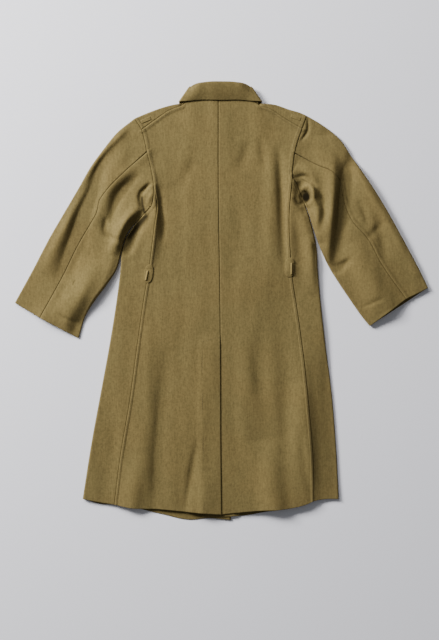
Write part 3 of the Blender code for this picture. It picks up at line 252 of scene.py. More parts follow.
# The collar's lines for one half, from the centre front on the underside round the side of the neck to the
# middle of the back. The right half mirrors them. The stand's foot follows the neckline instead.
STAND_SIDE = (-0.0962, 0.4950)
STAND_TOP_FRONT = mm(-3, 446, -46, 468, -69, 503)
STAND_TOP_SIDE = (-0.0770, 0.5350)
STAND_TOP_BACK = mm(-64, 542.5, -38, 547.5, 0, 549)
FALL_EDGE_FRONT = mm(-44, 372, -90, 412, -108, 462)
FALL_EDGE_SIDE = (-0.1040, 0.5030)
FALL_EDGE_BACK = mm(-88, 503.5, -45, 507, 0, 506)

# The fall's rows near its edge, its height over the back and at its folded middle, and how the collar turns
FALL_DEPTH = 0.046
NEAR_FALL_EDGE = (0, 0.0005, 0.0012, 0.0025)
FALL_LOFT = (0.0020, 0.0006)
FALL_RISE = 0.0105
FALL_RISE_X = (0.082, 0.046)
FALL_SLOPE = 1.5
FOLD_REACH = 0.0022
COLLAR_END_LIFT = 0.0022
COLLAR_END_X = (0.060, 0.095)
COLLAR_BACK_Y = 0.515
COLLAR_FRONT_Y = 0.46
COLLAR_TURN_AT = 0.97
STAND_TOP_SHARE = 0.7
COLLAR_GAP = 0.0007
NECK_SIDE_SHARE = 0.055

# Room that the collar takes under the fronts, and the buttons under the lap
COLLAR_ROOM = 0.0029
COLLAR_LIFT_Y = (0.300, 0.335)
COLLAR_LIFT_X = (0.172, 0.148)
BUTTON_X = -0.010
BUTTON_YS = (0.320, 0.215, 0.110, 0.005, -0.100)

# The tabs for shoulder marks: their size, place, height over the cloth, thickness and cells
TAB_SIZE = (0.026, 0.009)
TAB_SHARE = 0.80
TAB_LOFT = 0.0013
TAB_CLOTH = 0.0007
TAB_CELLS = (20, 8)
TAB_AHEAD = 0.05
TAB_IN = 0.0145
TAB_BOW = 0.0004

# A button from its middle to its rim and back, as distances from its axis and heights, and its thread
BUTTON_PROFILE = [(0.0, 0.0011), (0.0050, 0.0010), (0.0066, 0.0006), (0.0078, 0.0001), (0.0094, 0.0),
                  (0.0105, 0.0004), (0.0110, 0.0010), (0.0106, 0.0017), (0.0095, 0.0020), (0.0, 0.0020)]
BUTTON_STEPS = 48
BUTTON_THREAD_XS = (-0.0016, 0.0016)
BUTTON_THREAD_HALF = (0.0005, 0.0024, 0.0005)
BUTTON_THREAD_Z = 0.0009
BUTTON_THREAD_CELLS = (8, 6)
MERGE_WITHIN = 1e-6

# The stage: each light's name, place, power in watts and size, and the point of the plan that the camera is over
LIGHTS = (("window", (-3.15, 2.1, 1.8), 425.0, 1.2), ("skylight", (-1.5, 3.9, 2.7), 130.0, 1.7))
WORLD_STRENGTH = 0.165
SKY = (0.93, 0.96, 1.0, 1.0)
FLOOR_HALF = 6
VIEW_CENTRE = (-0.0050, -0.0471)

# The cut of each sheet: its width and length, and its area
Cut = namedtuple("Cut", "flat area")

# Finer creases of the upper layer, in the form of FOLDS
CREASES = [
    (-156, 295, -148, 225, -143, 150, -6.8, 8, 8),
    (-101, 275, -86, 320, -64, 362, -3.2, 17, 14),
    (46, 325, 59, 368, 70, 408, -3.2, 12, 15),
    (98, 418, 105, 375, 112, 325, -3, 10, 11),
    (145, 400, 153, 258, 160, 75, -7.8, 10, 11),
    (-133, -110, -148, -260, -169, -560, -5.6, 18, 14),
    (-55, -330, -74, -430, -92, -540, -4.2, 10, 8),
    (74, -70, 90, -160, 100, -250, -3.4, 20, 15),
    (200, -300, 210, -400, 226, -500, -3.4, 10, 12),
    (126, -40, 136, -250, 140, -470, 3, 20, 24),
    (200, -100, 216, -330, 230, -560, 9, 24, 30),
    (262, -60, 279, -300, 290, -520, -4, 30, 18),
    (-282, 392, -334, 252, -399, 52, -16.5, 22, 21),
    (-214, 410, -262, 342, -306, 276, 2.6, 18, 16),
    (-248, 422, -308, 328, -324, 225, -5.6, 26, 11),
    (-224, 446, -298, 368, -350, 284, 5.5, 8, 10),
    (-196, 330, -254, 264, -280, 186, -8.5, 10, 15),
    (-197, 240, -236, 200, -262, 120, 12, 9, 13),
    (-289, 216, -284, 174, -250, 152, -8, 6, 8),
    (-188, 206, -212, 172, -233, 115, -6, 10, 10),
    (-168, 280, -178, 258, -184, 238, 3, 6, 5),
    (-172, 302, -200, 266, -193.5, 236, -10, 5, 6),
    (-262, 205, -262, 165, -276, 120, 5, 12, 12),
    (-310, 110, -350, 20, -405, -80, 11, 22, 30),
    (-360, 50, -430, -40, -500, -130, 5, 24, 30),
    (-320, 15, -348, -60, -366, -140, -6, 12, 20),
    (-420, -24, -382, -40, -345, -54, -1.8, 5, 7),
    (338, 402, 306, 280, 284, 70, -14, 19, 14),
    (282, 380, 280, 240, 262, 80, 5, 12, 16),
    (232, 150, 284, 86, 330, 112, -11.5, 7, 9),
    (330, 150, 400, 20, 500, -160, 11, 34, 40),
    (183, 311, 210, 318, 240, 288, -5, 5, 6),
    (182, 264, 196, 247, 211, 252, -4, 5, 6),
    (190, 282, 221, 292, 238, 240, 6, 6, 6),
    (217.5, 464, 218, 434, 199, 402, -4.8, 5, 3),
    (262, 430, 370, 285, 500, 60, 5, 12, 12),
    (202, 230, 220, 160, 232, 20, 7, 12, 18),
    (112, -340, 134, -480, 150, -660, 15, 36, 38),
    (-204, -380, -220, -490, -232, -620, 5, 24, 30),
    (-40, -420, -46, -500, -50, -620, 5, 26, 28),
    (242, 288, 258, 232, 244, 170, -7.2, 11, 11),
    (342, 256, 361, 222, 372, 190, -3.6, 9, 7),
    (362, 156, 389, 182, 412, 206, -2.6, 8, 9),
    (384, 220, 402, 165, 416, 108, -4.6, 13, 11),
    (350, -12, 380, 0, 410, 12, -1.8, 6, 5),
    (-60, 60, -45, -10, -50, -80, 1.4, 26, 30),
    (30, 240, 46, 150, 40, 30, -1.4, 22, 26),
    (-120, 60, -112, -30, -124, -120, 1.6, 20, 28),
    (-262, -300, -276, -390, -290, -500, -1.8, 14, 16),
]

# Deep hollows where the cloth is pushed together: the centre, the half width, how high the rim stands round it, and
# the depth. The rim's place and width and the reach of the shade painted into the hollow are shares of the half
# width.
Hollow = namedtuple("Hollow", "centre size rim depth")
HOLLOW_LENGTH = 1.25
HOLLOW_RIM = (1.75, 0.55)
HOLLOW_SHADE_REACH = 1.22
HOLLOWS = [Hollow((0.2142, 0.2655), 0.0094, 0.0030, 0.026)]

# Shade painted where the sleeves shelter the cloth beside them from the light and along the deep creases at the
# underarms, and in the last two rows two small snags, dark in the cloth's own colour: the line, its width and how
# dark it is
Shade = namedtuple("Shade", "line width amount")
SHADES = [
    Shade(mm(-187, 215, -207, 193, -230, 166), 0.0105, 0.82),
    Shade(mm(-196, 264, -194.5, 244, -188.5, 222), 0.0040, 0.85),
    Shade(mm(211.5, 252, 219, 218, 229, 178), 0.0045, 0.65),
    Shade(mm(186, 306, 202, 309.5, 220, 300), 0.0018, 0.45),
    Shade(mm(184, 262, 190, 252, 201, 249), 0.0020, 0.50),
    Shade(mm(-364, 56, -366.5, 50.5, -369, 45), 0.0020, 0.42),
    Shade(mm(353.5, 92.5, 353.8, 90.4, 354.1, 88.3), 0.0020, 0.40),
]

# Shallow dents pressed up into the layer underneath, where nothing touches the surface
UNDER_CREASES = [
    (-150, 180, -135, 20, -150, -160, 2.2, 22, 16),
    (120, 200, 132, 60, 120, -80, 2, 18, 24),
    (-180, -180, -200, -330, -235, -520, 2.4, 26, 20),
    (105, -130, 128, -300, 150, -530, 2.4, 20, 28),
    (-110, 260, -140, 300, -165, 350, 1.8, 12, 16),
    (100, 250, 135, 290, 160, 350, 1.8, 16, 12),
    (-255, 330, -310, 220, -390, 60, 2.2, 18, 22),
    (265, 340, 330, 220, 400, 70, 2.2, 22, 18),
    (-215, 270, -262, 190, -300, 80, 1.8, 10, 14),
    (230, 280, 270, 180, 320, 60, 1.8, 14, 10),
]

# The gentle unevenness of worn cloth, and the most that the layer underneath is pressed up
RIPPLES = 26
RIPPLE_SEED = 11
RIPPLE_LENGTHS = (0.050, 0.240)
RIPPLE_STRETCH = (1.6, 0.5)
RIPPLE_SHARE = 0.35
UNDER_LIMIT = 0.0024

# Seams and stitching on the upper layer: the line, how far and to which side its edge is raised (positive to the
# left as seen from the line's start) and over what length it falls away, how deep and how dark its groove is, and
# how far off its stitching runs
Seam = namedtuple("Seam", "line lap fall groove shade rows")
UPPER_SEAMS = [
    Seam(LEFT.armhole, 0.0072, 0.0028, 0.0009, 0.50, (0.0062,)),
    Seam(RIGHT.armhole, -0.0075, 0.0028, 0.0008, 0.45, (-0.0065,)),
    Seam(LEFT.back_seam, -0.0050, 0.0028, 0.0009, 0.45, (-0.0042,)),
    Seam(RIGHT.back_seam, 0.0050, 0.0028, 0.0009, 0.50, (0.0042,)),
    Seam(LEFT.shoulder_seam, 0.0068, 0.0028, 0.0009, 0.45, (0.0058,)),
    Seam(RIGHT.shoulder_seam, -0.0068, 0.0028, 0.0009, 0.45, (-0.0058,)),
    Seam(LEFT.sleeve_seam, 0.0050, 0.0160, 0.0012, 0.95, ()),
    Seam(RIGHT.sleeve_seam, 0.0046, 0.0060, 0.0009, 0.45, ()),
    Seam(CENTRE_SEAM, 0.0, 0.0, 0.0013, 0.75, ()),
    Seam(mm(-46.5, -98, -44, -300, -41.5, -518.5), 0.0, 0.0, 0.0, 0.0, (0.0,)),
    Seam(mm(-46.5, -98, -22, -91, -2, -86), 0.0, 0.0, 0.0, 0.0, (0.0,)),
]

# How finely a seam is followed, how its raised edge starts and ends, its groove, and its rows of stitches
SEAM_SAMPLES = 48
SEAM_REACH = 0.005
SEAM_ENDS = 0.01
CALM_REACH = (0.002, 0.014)
LAP_RISE = 0.0013
LAP_START = (-0.0003, 0.0008)
LAP_TURN = 0.0006
GROOVE_WIDTH = 0.0012
STITCH_DENT = 0.00035
STITCH_WIDTH = 0.0010
STITCH_SHADE = 0.45
STITCH_AHEAD = 0.0015
STITCH_ROUND = 0.36
STITCH_ENDS = 0.002
STITCH_SAMPLES = 60
STITCH_CELLS = (6, 4)

# Painted light and shade that follow the cloth's shape, the folds' ridges painted lighter and their troughs darker:
# the fine creases' weight, the height of no change and the span
LIE = (1.6, 0.002, 0.008)


def length_setting(name, description, default, low, high):
    """One length that the panel shows, in metres."""
    return bpy.props.FloatProperty(name=name, description=description, default=default, min=low, max=high,
                                   unit="LENGTH", subtype="DISTANCE")


def colour_setting(name, description, *default):
    """One colour that the panel shows, given as red, green and blue."""
    return bpy.props.FloatVectorProperty(name=name, description=description, default=(*default, 1.0), size=4,
                                         min=0.0, max=1.0, subtype="COLOR")


class GreatcoatSizes(bpy.types.PropertyGroup):
    """Sizes of the cloth's finish and of the view."""

    crease_share: bpy.props.FloatProperty(name="Creases", description="How much of each crease's depth shows",
                                          default=1.0, min=0.0, max=1.5, subtype="FACTOR")
    ripple_height: length_setting("Ripples", "Height of the gentle unevenness of worn cloth", 0.0006, 0.0, 0.002)
    stitch_step: length_setting("Stitch step", "From one stitch's start to the next one's", 0.0042, 0.002, 0.01)
    stitch_length: length_setting("Stitch length", "Thread that shows at each stitch", 0.0030, 0.001, 0.008)
    stitch_thickness: length_setting("Thread thickness", "Width of the sewing thread", 0.0007, 0.0002, 0.002)
    camera_height: length_setting("Camera height", "Height of the camera above the cloth", 3.0, 1.0, 8.0)
    view_height: length_setting("View height", "The picture's long side on the cloth", 1.6, 0.5, 4.0)


class GreatcoatColours(bpy.types.PropertyGroup):
    """Colours of the cloth, the thread, the buttons and the stage."""

    wool: colour_setting("Wool", "Main colour of the felted wool", 0.156, 0.116, 0.042)
    wool_brown: colour_setting("Brown wool", "Browner fibres in the mixture", 0.152, 0.110, 0.040)
    wool_green: colour_setting("Green wool", "Greener fibres in the mixture", 0.148, 0.114, 0.043)
    # Also the near-black of the shade painted into the underarm hollow and onto the cloth that the sleeves shelter
    seam: colour_setting("Seam line", "Dark line where two edges of cloth meet", 0.006, 0.004, 0.001)
    thread: colour_setting("Thread", "Sewing thread", 0.200, 0.150, 0.060)
    horn: colour_setting("Horn", "Dark brown of the buttons", 0.060, 0.043, 0.022)
    horn_dark: colour_setting("Dark horn", "Darker clouds in the horn", 0.020, 0.014, 0.008)
    horn_pale: colour_setting("Pale horn", "Fine scratches on the horn", 0.16, 0.12, 0.07)
    floor: colour_setting("Floor", "Pale grey backdrop paper", 0.890, 0.882, 0.935)
    floor_grey: colour_setting("Paper fibres", "Greyer fibres in the paper", 0.5, 0.5, 0.5)


def smooth_step(low, high, value):
    """0 at low, 1 at high and level at both ends. Low may be the larger of the two."""
    share = np.clip((value - low) / (high - low), 0, 1)
    return share * share * (3 - 2 * share)


def along(points, share):
    """Points at these shares of a smooth curve through the given points, measured along its chords."""
    points = np.asarray(points, float)
    gaps = np.linalg.norm(np.diff(points, axis=0), axis=1)
    knots = np.concatenate([[0], np.cumsum(gaps)]) / gaps.sum()
    slopes = np.gradient(points, knots, axis=0)
    share = np.clip(np.atleast_1d(np.asarray(share, float)), 0, 1)
    cell = np.clip(np.searchsorted(knots, share, side="right") - 1, 0, len(points) - 2)
    width = (knots[cell + 1] - knots[cell])[:, None]
    t = ((share - knots[cell]) / width[:, 0])[:, None]
    first, last = points[cell], points[cell + 1]
    return (
        (2 * t**3 - 3 * t**2 + 1) * first
        + (t**3 - 2 * t**2 + t) * width * slopes[cell]
        + (3 * t**2 - 2 * t**3) * last
        + (t**3 - t**2) * width * slopes[cell + 1]
    )


def chord_length(points):
    """The length of the straight lines from point to point."""
    return np.linalg.norm(np.diff(np.asarray(points, float), axis=0), axis=1).sum()


def share_at(points, index):
    """How far along its chords a curve's own point lies."""
    return chord_length(points[: index + 1]) / chord_length(points)


def stretched(shares):
    """The same spacing, drawn out from 0 to 1."""
    return (shares - shares[0]) / (shares[-1] - shares[0])


def unit(vector):
    """The same directions with a length of 1."""
    return vector / np.maximum(np.linalg.norm(vector, axis=-1, keepdims=True), SHORTEST)


def left_of(points, shares):
    """The plan direction square to a curve, to its left, at each share."""
    ahead = unit(along(points, shares + TANGENT_STEP) - along(points, shares - TANGENT_STEP))
    return np.column_stack([-ahead[:, 1], ahead[:, 0]])


def curve(points, first=0.0, last=1.0):
    """The stretch of a curve between two shares, as a function of 0 to 1."""
    return lambda share: along(points, first + (last - first) * np.asarray(share, float))


def joined(one, other, at):
    """Two curves end to end as one, with the join at a share."""

    def run(share):
        share = np.atleast_1d(np.asarray(share, float))
        return np.where((share < at)[:, None], one(np.clip(share / at, 0, 1)),
                        other(np.clip((share - at) / (1 - at), 0, 1)))

    return run


class Patch:
    """A four-sided area of the plan between its boundary curves, each a function of a share from 0 to 1."""

    def __init__(self, low, high, start, end, fade=1):
        self.low, self.high, self.start, self.end, self.fade = low, high, start, end, fade

    def __call__(self, s, v):
        s = np.atleast_1d(np.asarray(s, float))
        v = np.broadcast_to(np.asarray(v, float), s.shape)
        a, b = s[:, None], v[:, None]
        ruled = (1 - a) * self.start(v) + a * self.end(v)
        low_bend = self.low(s) - (1 - a) * self.low(0) - a * self.low(1)
        high_bend = self.high(s) - (1 - a) * self.high(0) - a * self.high(1)
        return ruled + low_bend * (1 - b) ** self.fade + high_bend * b


class Line:
    """A curve on the cloth, which tells for points near it how far off, on which side and how far along they are."""

    def __init__(self, points, samples, reach):
        self.points = along(points, np.linspace(0, 1, samples))
        self.reach = reach
        self.low, self.high = self.points.min(axis=0) - reach, self.points.max(axis=0) + reach

    def near(self, x, y):
        """The numbers of the points within reach, and their gap, side (1 is left) and share along the line."""
        which = np.flatnonzero((x > self.low[0]) & (x < self.high[0]) & (y > self.low[1]) & (y < self.high[1]))
        if len(which) == 0:
            return which, np.zeros(0), np.zeros(0), np.zeros(0)
        pieces = np.diff(self.points, axis=0)
        away = np.stack([x[which], y[which]], axis=1)[:, None] - self.points[:-1]
        t = np.clip((away * pieces).sum(axis=2) / (pieces**2).sum(axis=1), 0, 1)
        gaps = np.linalg.norm(away - t[..., None] * pieces, axis=2)
        nearest = gaps.argmin(axis=1)
        rows = np.arange(len(which))
        piece, offset = pieces[nearest], away[rows, nearest]
        side = np.where(piece[:, 0] * offset[:, 1] - piece[:, 1] * offset[:, 0] > 0, 1.0, -1.0)
        reached = (nearest + t[rows, nearest]) / len(pieces)
        return which, gaps[rows, nearest], side, reached


class Folds:
    """The ridges and troughs of one table, and how gently they end."""

    def __init__(self, table, ending):
        self.ending = ending
        self.table = []
        for fold in (Fold(*(number / 1000 for number in row)) for row in table):
            line = Line(np.reshape(fold[:6], (3, 2)), FOLD_SAMPLES, FOLD_WIDTHS * max(fold.left, fold.right))
            self.table.append((fold, line))

    def __call__(self, x, y):
        total = np.zeros(len(x))
        for fold, line in self.table:
            which, gap, side, reached = line.near(x, y)
            taper = np.sin(np.pi * np.clip(reached, 0, 1)) ** self.ending
            total[which] += fold.rise * np.exp(-((gap / np.where(side > 0, fold.left, fold.right)) ** 2)) * taper
        return total


class Seams:
    """The raised edges, grooves and stitching of one table."""

    def __init__(self, table):
        self.table = [(s, Line(s.line, SEAM_SAMPLES, abs(s.lap) + s.fall + SEAM_REACH)) for s in table]

    def __call__(self, x, y):
        """The height that the seams add at each point, and how dark they leave it from 0 to 1."""
        height, dark = np.zeros(len(x)), np.zeros(len(x))
        for seam, line in self.table:
            which, gap, side, reached = line.near(x, y)
            away = gap * side
            ends = smooth_step(0.0, SEAM_ENDS, reached) * smooth_step(1.0, 1 - SEAM_ENDS, reached)
            if seam.lap:
                inside, width = away * np.sign(seam.lap), abs(seam.lap)
                lap = smooth_step(*LAP_START, inside) * smooth_step(width + seam.fall, width - LAP_TURN, inside)
                height[which] += LAP_RISE * lap
            if seam.groove:
                groove = np.exp(-((away / GROOVE_WIDTH) ** 2))
                height[which] -= seam.groove * groove
                dark[which] = np.maximum(dark[which], seam.shade * groove)
            for row in seam.rows:
                dent = np.exp(-(((away - row) / STITCH_WIDTH) ** 2)) * ends
                height[which] -= STITCH_DENT * dent
                dark[which] = np.maximum(dark[which], STITCH_SHADE * dent)
        return height, dark


def hollows(x, y):
    """The height of the deep hollows, and the shade painted into them."""
    height, dark = np.zeros(len(x)), np.zeros(len(x))
    for hollow in HOLLOWS:
        reach = np.hypot(x - hollow.centre[0], (y - hollow.centre[1]) / HOLLOW_LENGTH) / hollow.size
        rim = np.exp(-((reach - HOLLOW_RIM[0]) / HOLLOW_RIM[1]) ** 2)
        height += hollow.rim * rim - hollow.depth * np.exp(-(reach**4))
        # Painted shade, nearly black, in the middle of the hollow
        dark = np.maximum(dark, np.exp(-((reach / HOLLOW_SHADE_REACH) ** 4)))
    return height, dark


def shades(x, y):
    """The shade painted where the sleeves and the deep creases shelter the cloth, and the dark of two snags."""
    dark = np.zeros(len(x))
    for shade, line in sheltered:
        which, gap = line.near(x, y)[:2]
        dark[which] = np.maximum(dark[which], shade.amount * np.exp(-((gap / shade.width) ** 2)))
    return dark


sheltered = [(shade, Line(shade.line, FOLD_SAMPLES, FOLD_WIDTHS * shade.width)) for shade in SHADES]
main_folds = Folds(FOLDS, MAIN_ENDING)
fine_creases = Folds(CREASES, FINE_ENDING)
under_creases = Folds(UNDER_CREASES, MAIN_ENDING)
upper_seams = Seams(UPPER_SEAMS)


def settings():
    """The sizes in the panel."""
    return bpy.context.scene.greatcoat_sizes


def colours():
    """The colours in the panel."""
    return bpy.context.scene.greatcoat_colours


def ripples(x, y):
    """Gentle unevenness, as a sum of waves of many lengths and directions."""
    numbers = np.random.default_rng(RIPPLE_SEED)
    lengths = np.geomspace(*RIPPLE_LENGTHS, RIPPLES)
    turns, phases = numbers.uniform(0, math.tau, (2, RIPPLES))
    across, down = RIPPLE_STRETCH
    total = np.zeros(len(x))
    for length, turn, phase in zip(lengths, turns, phases):
        reach = math.tau / length
        total += length * np.sin(reach * (x * math.cos(turn) * across + y * math.sin(turn) * down) + phase)
    return total / (RIPPLE_LENGTHS[1] * math.sqrt(RIPPLES) * RIPPLE_SHARE)


def collar_lift(x, y):
    """How far the collar underneath lifts the fronts."""
    return COLLAR_ROOM * smooth_step(*COLLAR_LIFT_Y, y) * smooth_step(*COLLAR_LIFT_X, np.abs(x))


def calm(x, y):
    """0 at the underarm points, where the cloth is too narrow for creases, and 1 away from them."""
    gaps = [np.hypot(x - side.side_fold[-1][0], y - side.side_fold[-1][1]) for side in (LEFT, RIGHT)]
    return smooth_step(*CALM_REACH, np.minimum(*gaps))


def smooth_height(x, y):
    """Height of the middle of the upper layer's cloth, without its seams."""
    x, y = np.atleast_1d(x), np.atleast_1d(y)
    height = UPPER_LEVEL + MIDDLE_RISE * smooth_step(*MIDDLE_RISE_X, np.abs(x)) + main_folds(x, y)
    height = height + settings().crease_share * calm(x, y) * (fine_creases(x, y) + hollows(x, y)[0])
    height = height + settings().ripple_height * ripples(x, y)
    return LEAST_LEVEL + LEVEL_SOFTNESS * np.logaddexp(0, (height - LEAST_LEVEL) / LEVEL_SOFTNESS)


def layer_height(x, y):
    """Height of the middle of the upper layer's cloth."""
    x, y = np.atleast_1d(x), np.atleast_1d(y)
    return smooth_height(x, y) + upper_seams(x, y)[0]


def vent_height(x, y):
    """The left back rides over the right back's underlap along the vent."""
    return layer_height(x, y) + LAYER * smooth_step(*VENT_RAMP_X, x) * smooth_step(*VENT_RAMP_Y, y)


def pressed_up(x, y):
    """Height of the dents in the layer underneath."""
    x, y = np.atleast_1d(x), np.atleast_1d(y)
    return np.minimum(under_creases(x, y) * settings().crease_share, UNDER_LIMIT)


def left_front_height(x, y):
    """The left front lies on the buttons along its edge and on the collar at the neck."""
    return LOWER_LEVEL + np.maximum(LAYER * smooth_step(*LEFT_LAP_RAMP, x), collar_lift(x, y)) + pressed_up(x, y)


def right_front_height(x, y):
    """The right front lies on the left front within the lap."""
    lap = LAYER * smooth_step(*RIGHT_LAP_RAMP, x)
    return LOWER_LEVEL + np.maximum(lap, collar_lift(x, y)) + lap + pressed_up(x, y)


def sleeve_under_height(x, y):
    """The sleeves' undersides lie on the surface."""
    return LOWER_LEVEL + pressed_up(x, y)


def raised(plan, height):
    """Plan points with their heights added."""
    plan = np.asarray(plan, float)
    heights = height(plan[..., 0].ravel(), plan[..., 1].ravel())
    return np.concatenate([plan, heights.reshape(plan.shape[:-1] + (1,))], axis=-1)


def spaced(length, near_low, near_high, cells):
    """Shares from 0 to 1: the given distances from each end, and even steps between them."""
    low, high = np.array(near_low) / length, 1 - np.array(near_high[::-1]) / length
    middle = np.linspace(low[-1], high[0], cells + 3 - len(low) - len(high))[1:-1]
    return np.concatenate([low, middle, high])


def roll_radius(top, bottom):
    """The radius at which cloth turns from one height to another."""
    return np.clip((top - bottom) / 2, *ROLL_RADII)


def radii_at(plan):
    """The radius of the turn from the upper layer down to the flat cloth, at each of these plan points."""
    return roll_radius(smooth_height(plan[:, 0], plan[:, 1]), LOWER_LEVEL)


def roll(edge, upper, lower, top, bottom, radius, steps=FOLD_STEPS):
    """The cloth's turn at a fold, from just after the upper layer to just before the lower one."""
    turns = np.pi * np.arange(1, steps) / steps
    share = (turns / np.pi)[:, None]
    inward = unit((1 - share) * upper + share * lower)
    plan = edge + inward * (radius * (1 - np.sin(turns)))[:, None]
    return np.column_stack([plan, (top + bottom) / 2 + (top - bottom) / 2 * np.cos(turns)])


def roll_between(edge, high, low, radius):
    """The cloth's turn at an edge between a point of the upper layer and one of the lower layer."""
    return roll(edge, unit(high[:2] - edge), unit(low[:2] - edge), high[2], low[2], radius)


def inward_from(fold_line, share, inside, pit):
    """The plan direction square to a fold line, towards a point inside, and leaning to the pit near it."""
    before, here, after = along(fold_line, share + FOLD_TANGENT_STEP * np.array([-1, 0, 1]))
    tangent = after - before
    square = unit(np.array([-tangent[1], tangent[0]]))
    to_pit = np.array(pit) - here
    distance = np.linalg.norm(to_pit)
    lean = PIT_LEAN * max(0, 1 - distance / PIT_REACH) / max(distance, CLOTH)
    return unit(square * np.sign(square @ (inside - here)) + lean * to_pit)


def ending_at(plan, target):
    """A row of plan points drawn so that its last point lies at a target, and the near ones follow."""
    share = np.linspace(0, 1, len(plan))[:, None]
    return plan + (target - plan[-1]) * share**2


def add_piece(mesh, surface, nodes):
    """Puts a finished mesh in the scene as a piece that stands for its CAD nodes."""
    mesh.materials.append(surface)
    piece = bpy.data.objects.new(mesh.name, mesh)
    bpy.context.scene.collection.objects.link(piece)
    if nodes:
        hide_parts(*nodes)
    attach(piece, "root")
    return piece


def add_cloth(node, points, kept=None, upper=None, cut=None, rests_on=(), **finish):
    """Makes the cloth that stands for a CAD node. Its cut and what it lies on, if it is a sheet, are not used."""
    piece = add_piece(cloth_wall(f"{node}_cloth", points, kept, upper, **finish), material(felted_wool), [node])


def finished_mesh(name, bm):
    """Moves what was drawn to the model's own centre and makes it a smooth mesh."""
    bmesh.ops.translate(bm, verts=bm.verts[:], vec=(-PLAN_CENTRE[0], -PLAN_CENTRE[1], 0))
    mesh = bpy.data.meshes.new(name)
    bm.to_mesh(mesh)
    bm.free()
    mesh.shade_smooth()
    return mesh


def rim_distances(bm):
    """How far each vertex of an open sheet lies from its rim."""
    points = []
    for edge in bm.edges:
        if edge.is_boundary:
            a, b = edge.verts[0].co, edge.verts[1].co
            steps = max(1, math.ceil((b - a).length / RIM_STEP))
            points += [a.lerp(b, k / steps) for k in range(steps)]
    tree = KDTree(len(points))
    for index, point in enumerate(points):
        tree.insert(point, index)
    tree.balance()
    return {vertex: tree.find(vertex.co)[2] for vertex in bm.verts}


def cloth_wall(name, points, kept=None, upper=None, thickness=CLOTH, worn=None):
    """A closed wall of cloth with rounded edges, on a grid of middle points.

    kept says which cells are cloth, upper which points belong to the upper layer and carry its seams, the shade
    painted where it is sheltered and the light and shade painted by its folds, and worn how much lighter each point
    is painted than the rest, in place of the folds' painted light.
    """
    columns, rows = points.shape[0] - 1, points.shape[1] - 1
    flat = points.reshape(-1, 3)
    dark, lie = np.zeros(len(flat)), np.zeros(len(flat))
    if upper is not None:
        which = np.flatnonzero(upper.ravel())
        x, y = flat[which, 0], flat[which, 1]
        # Dark seam lines, stitches and snags, and painted shade in the hollows and where the sleeves shelter the
        # cloth
        dark[which] = np.max([upper_seams(x, y)[1], hollows(x, y)[1], shades(x, y)], axis=0)
        # Painted light on the folds' ridges and painted shade in their troughs, from their height
        weight, level, span = LIE
        lie[which] = np.clip((main_folds(x, y) + weight * fine_creases(x, y) - level) / span, -1, 1)
    # A given lightening, such as the loop's band painted lighter, takes the place of the folds' painted light
    if worn is not None:
        lie = worn.ravel()
    bm = bmesh.new()
    bmesh.ops.create_grid(bm, x_segments=columns, y_segments=rows, size=0.5)
    place = bm.verts.layers.int.new("place")
    dark_layer, lie_layer = bm.verts.layers.float.new("dark"), bm.verts.layers.float.new("lie")
    for vertex in bm.verts:
        vertex[place] = round((vertex.co.x + 0.5) * columns) * (rows + 1) + round((vertex.co.y + 0.5) * rows)
    if kept:
        dropped = []
        for face in bm.faces:
            centre = face.calc_center_median()
            if not kept(int((centre.x + 0.5) * columns), int((centre.y + 0.5) * rows)):
                dropped.append(face)
        bmesh.ops.delete(bm, geom=dropped, context="FACES")
    for vertex in bm.verts:
        number = vertex[place]
        vertex.co = flat[number]
        vertex[dark_layer], vertex[lie_layer] = dark[number], lie[number]
    bm.normal_update()
    rim = rim_distances(bm)
    offsets = {}
    for vertex in bm.verts:
        inside = min(rim[vertex] / EDGE_ROUND, 1)
        half = thickness / 2 * max(EDGE_SHARE, math.sqrt(1 - (1 - inside) ** 2))
        offsets[vertex[place]] = vertex.normal * half
    inner = list(bm.verts)
    made = bmesh.ops.extrude_face_region(bm, geom=bm.faces[:], use_keep_orig=True)
    outer = [g for g in made["geom"] if isinstance(g, bmesh.types.BMVert)]
    for group, sign in ((inner, -1), (outer, 1)):
        for vertex in group:
            vertex.co += offsets[vertex[place]] * sign
    bmesh.ops.recalc_face_normals(bm, faces=bm.faces[:])
    if bm.calc_volume(signed=True) < 0:
        bmesh.ops.reverse_faces(bm, faces=bm.faces[:])
    return finished_mesh(name, bm)


class Armhole:
    """The ring where a sleeve joins the body, drawn half a seam's gap towards the sleeve (1) or the body (-1)."""

    def __init__(self, side, towards):
        top_shares = np.interp(np.arange(UNDERARM_AT + 1), list(KNOT_STATIONS.values()),
                               [share_at(side.armhole, knot) for knot in KNOT_STATIONS])
        ends = along(side.armhole, [0, 1])
        radii = radii_at(ends)
        top_ends, under_ends = radii / chord_length(side.armhole), radii / chord_length(side.front_armhole)
        self.top_shares = top_ends[0] + top_shares * (1 - top_ends.sum())
        self.under_shares = under_ends[0] + np.linspace(1, 0, UNDER_ROWS + 1) * (1 - under_ends.sum())
        top = raised(along(side.armhole, self.top_shares), layer_height)
        under = raised(along(side.front_armhole, self.under_shares), sleeve_under_height)
        way = towards * (1 if side is RIGHT else -1) * SEAM_GAP / 2
        top_move, under_move = (
            np.column_stack([left_of(line, shares), np.zeros(len(shares))]) * way
            for line, shares in ((side.armhole, self.top_shares), (side.front_armhole, self.under_shares))
        )
        self.top, self.under = top + top_move, under + under_move
        self.pit = roll_between(ends[1], top[-1], under[0], radii[1]) + top_move[-1]
        self.tip = roll_between(ends[0], top[0], under[-1], radii[0]) + top_move[0]


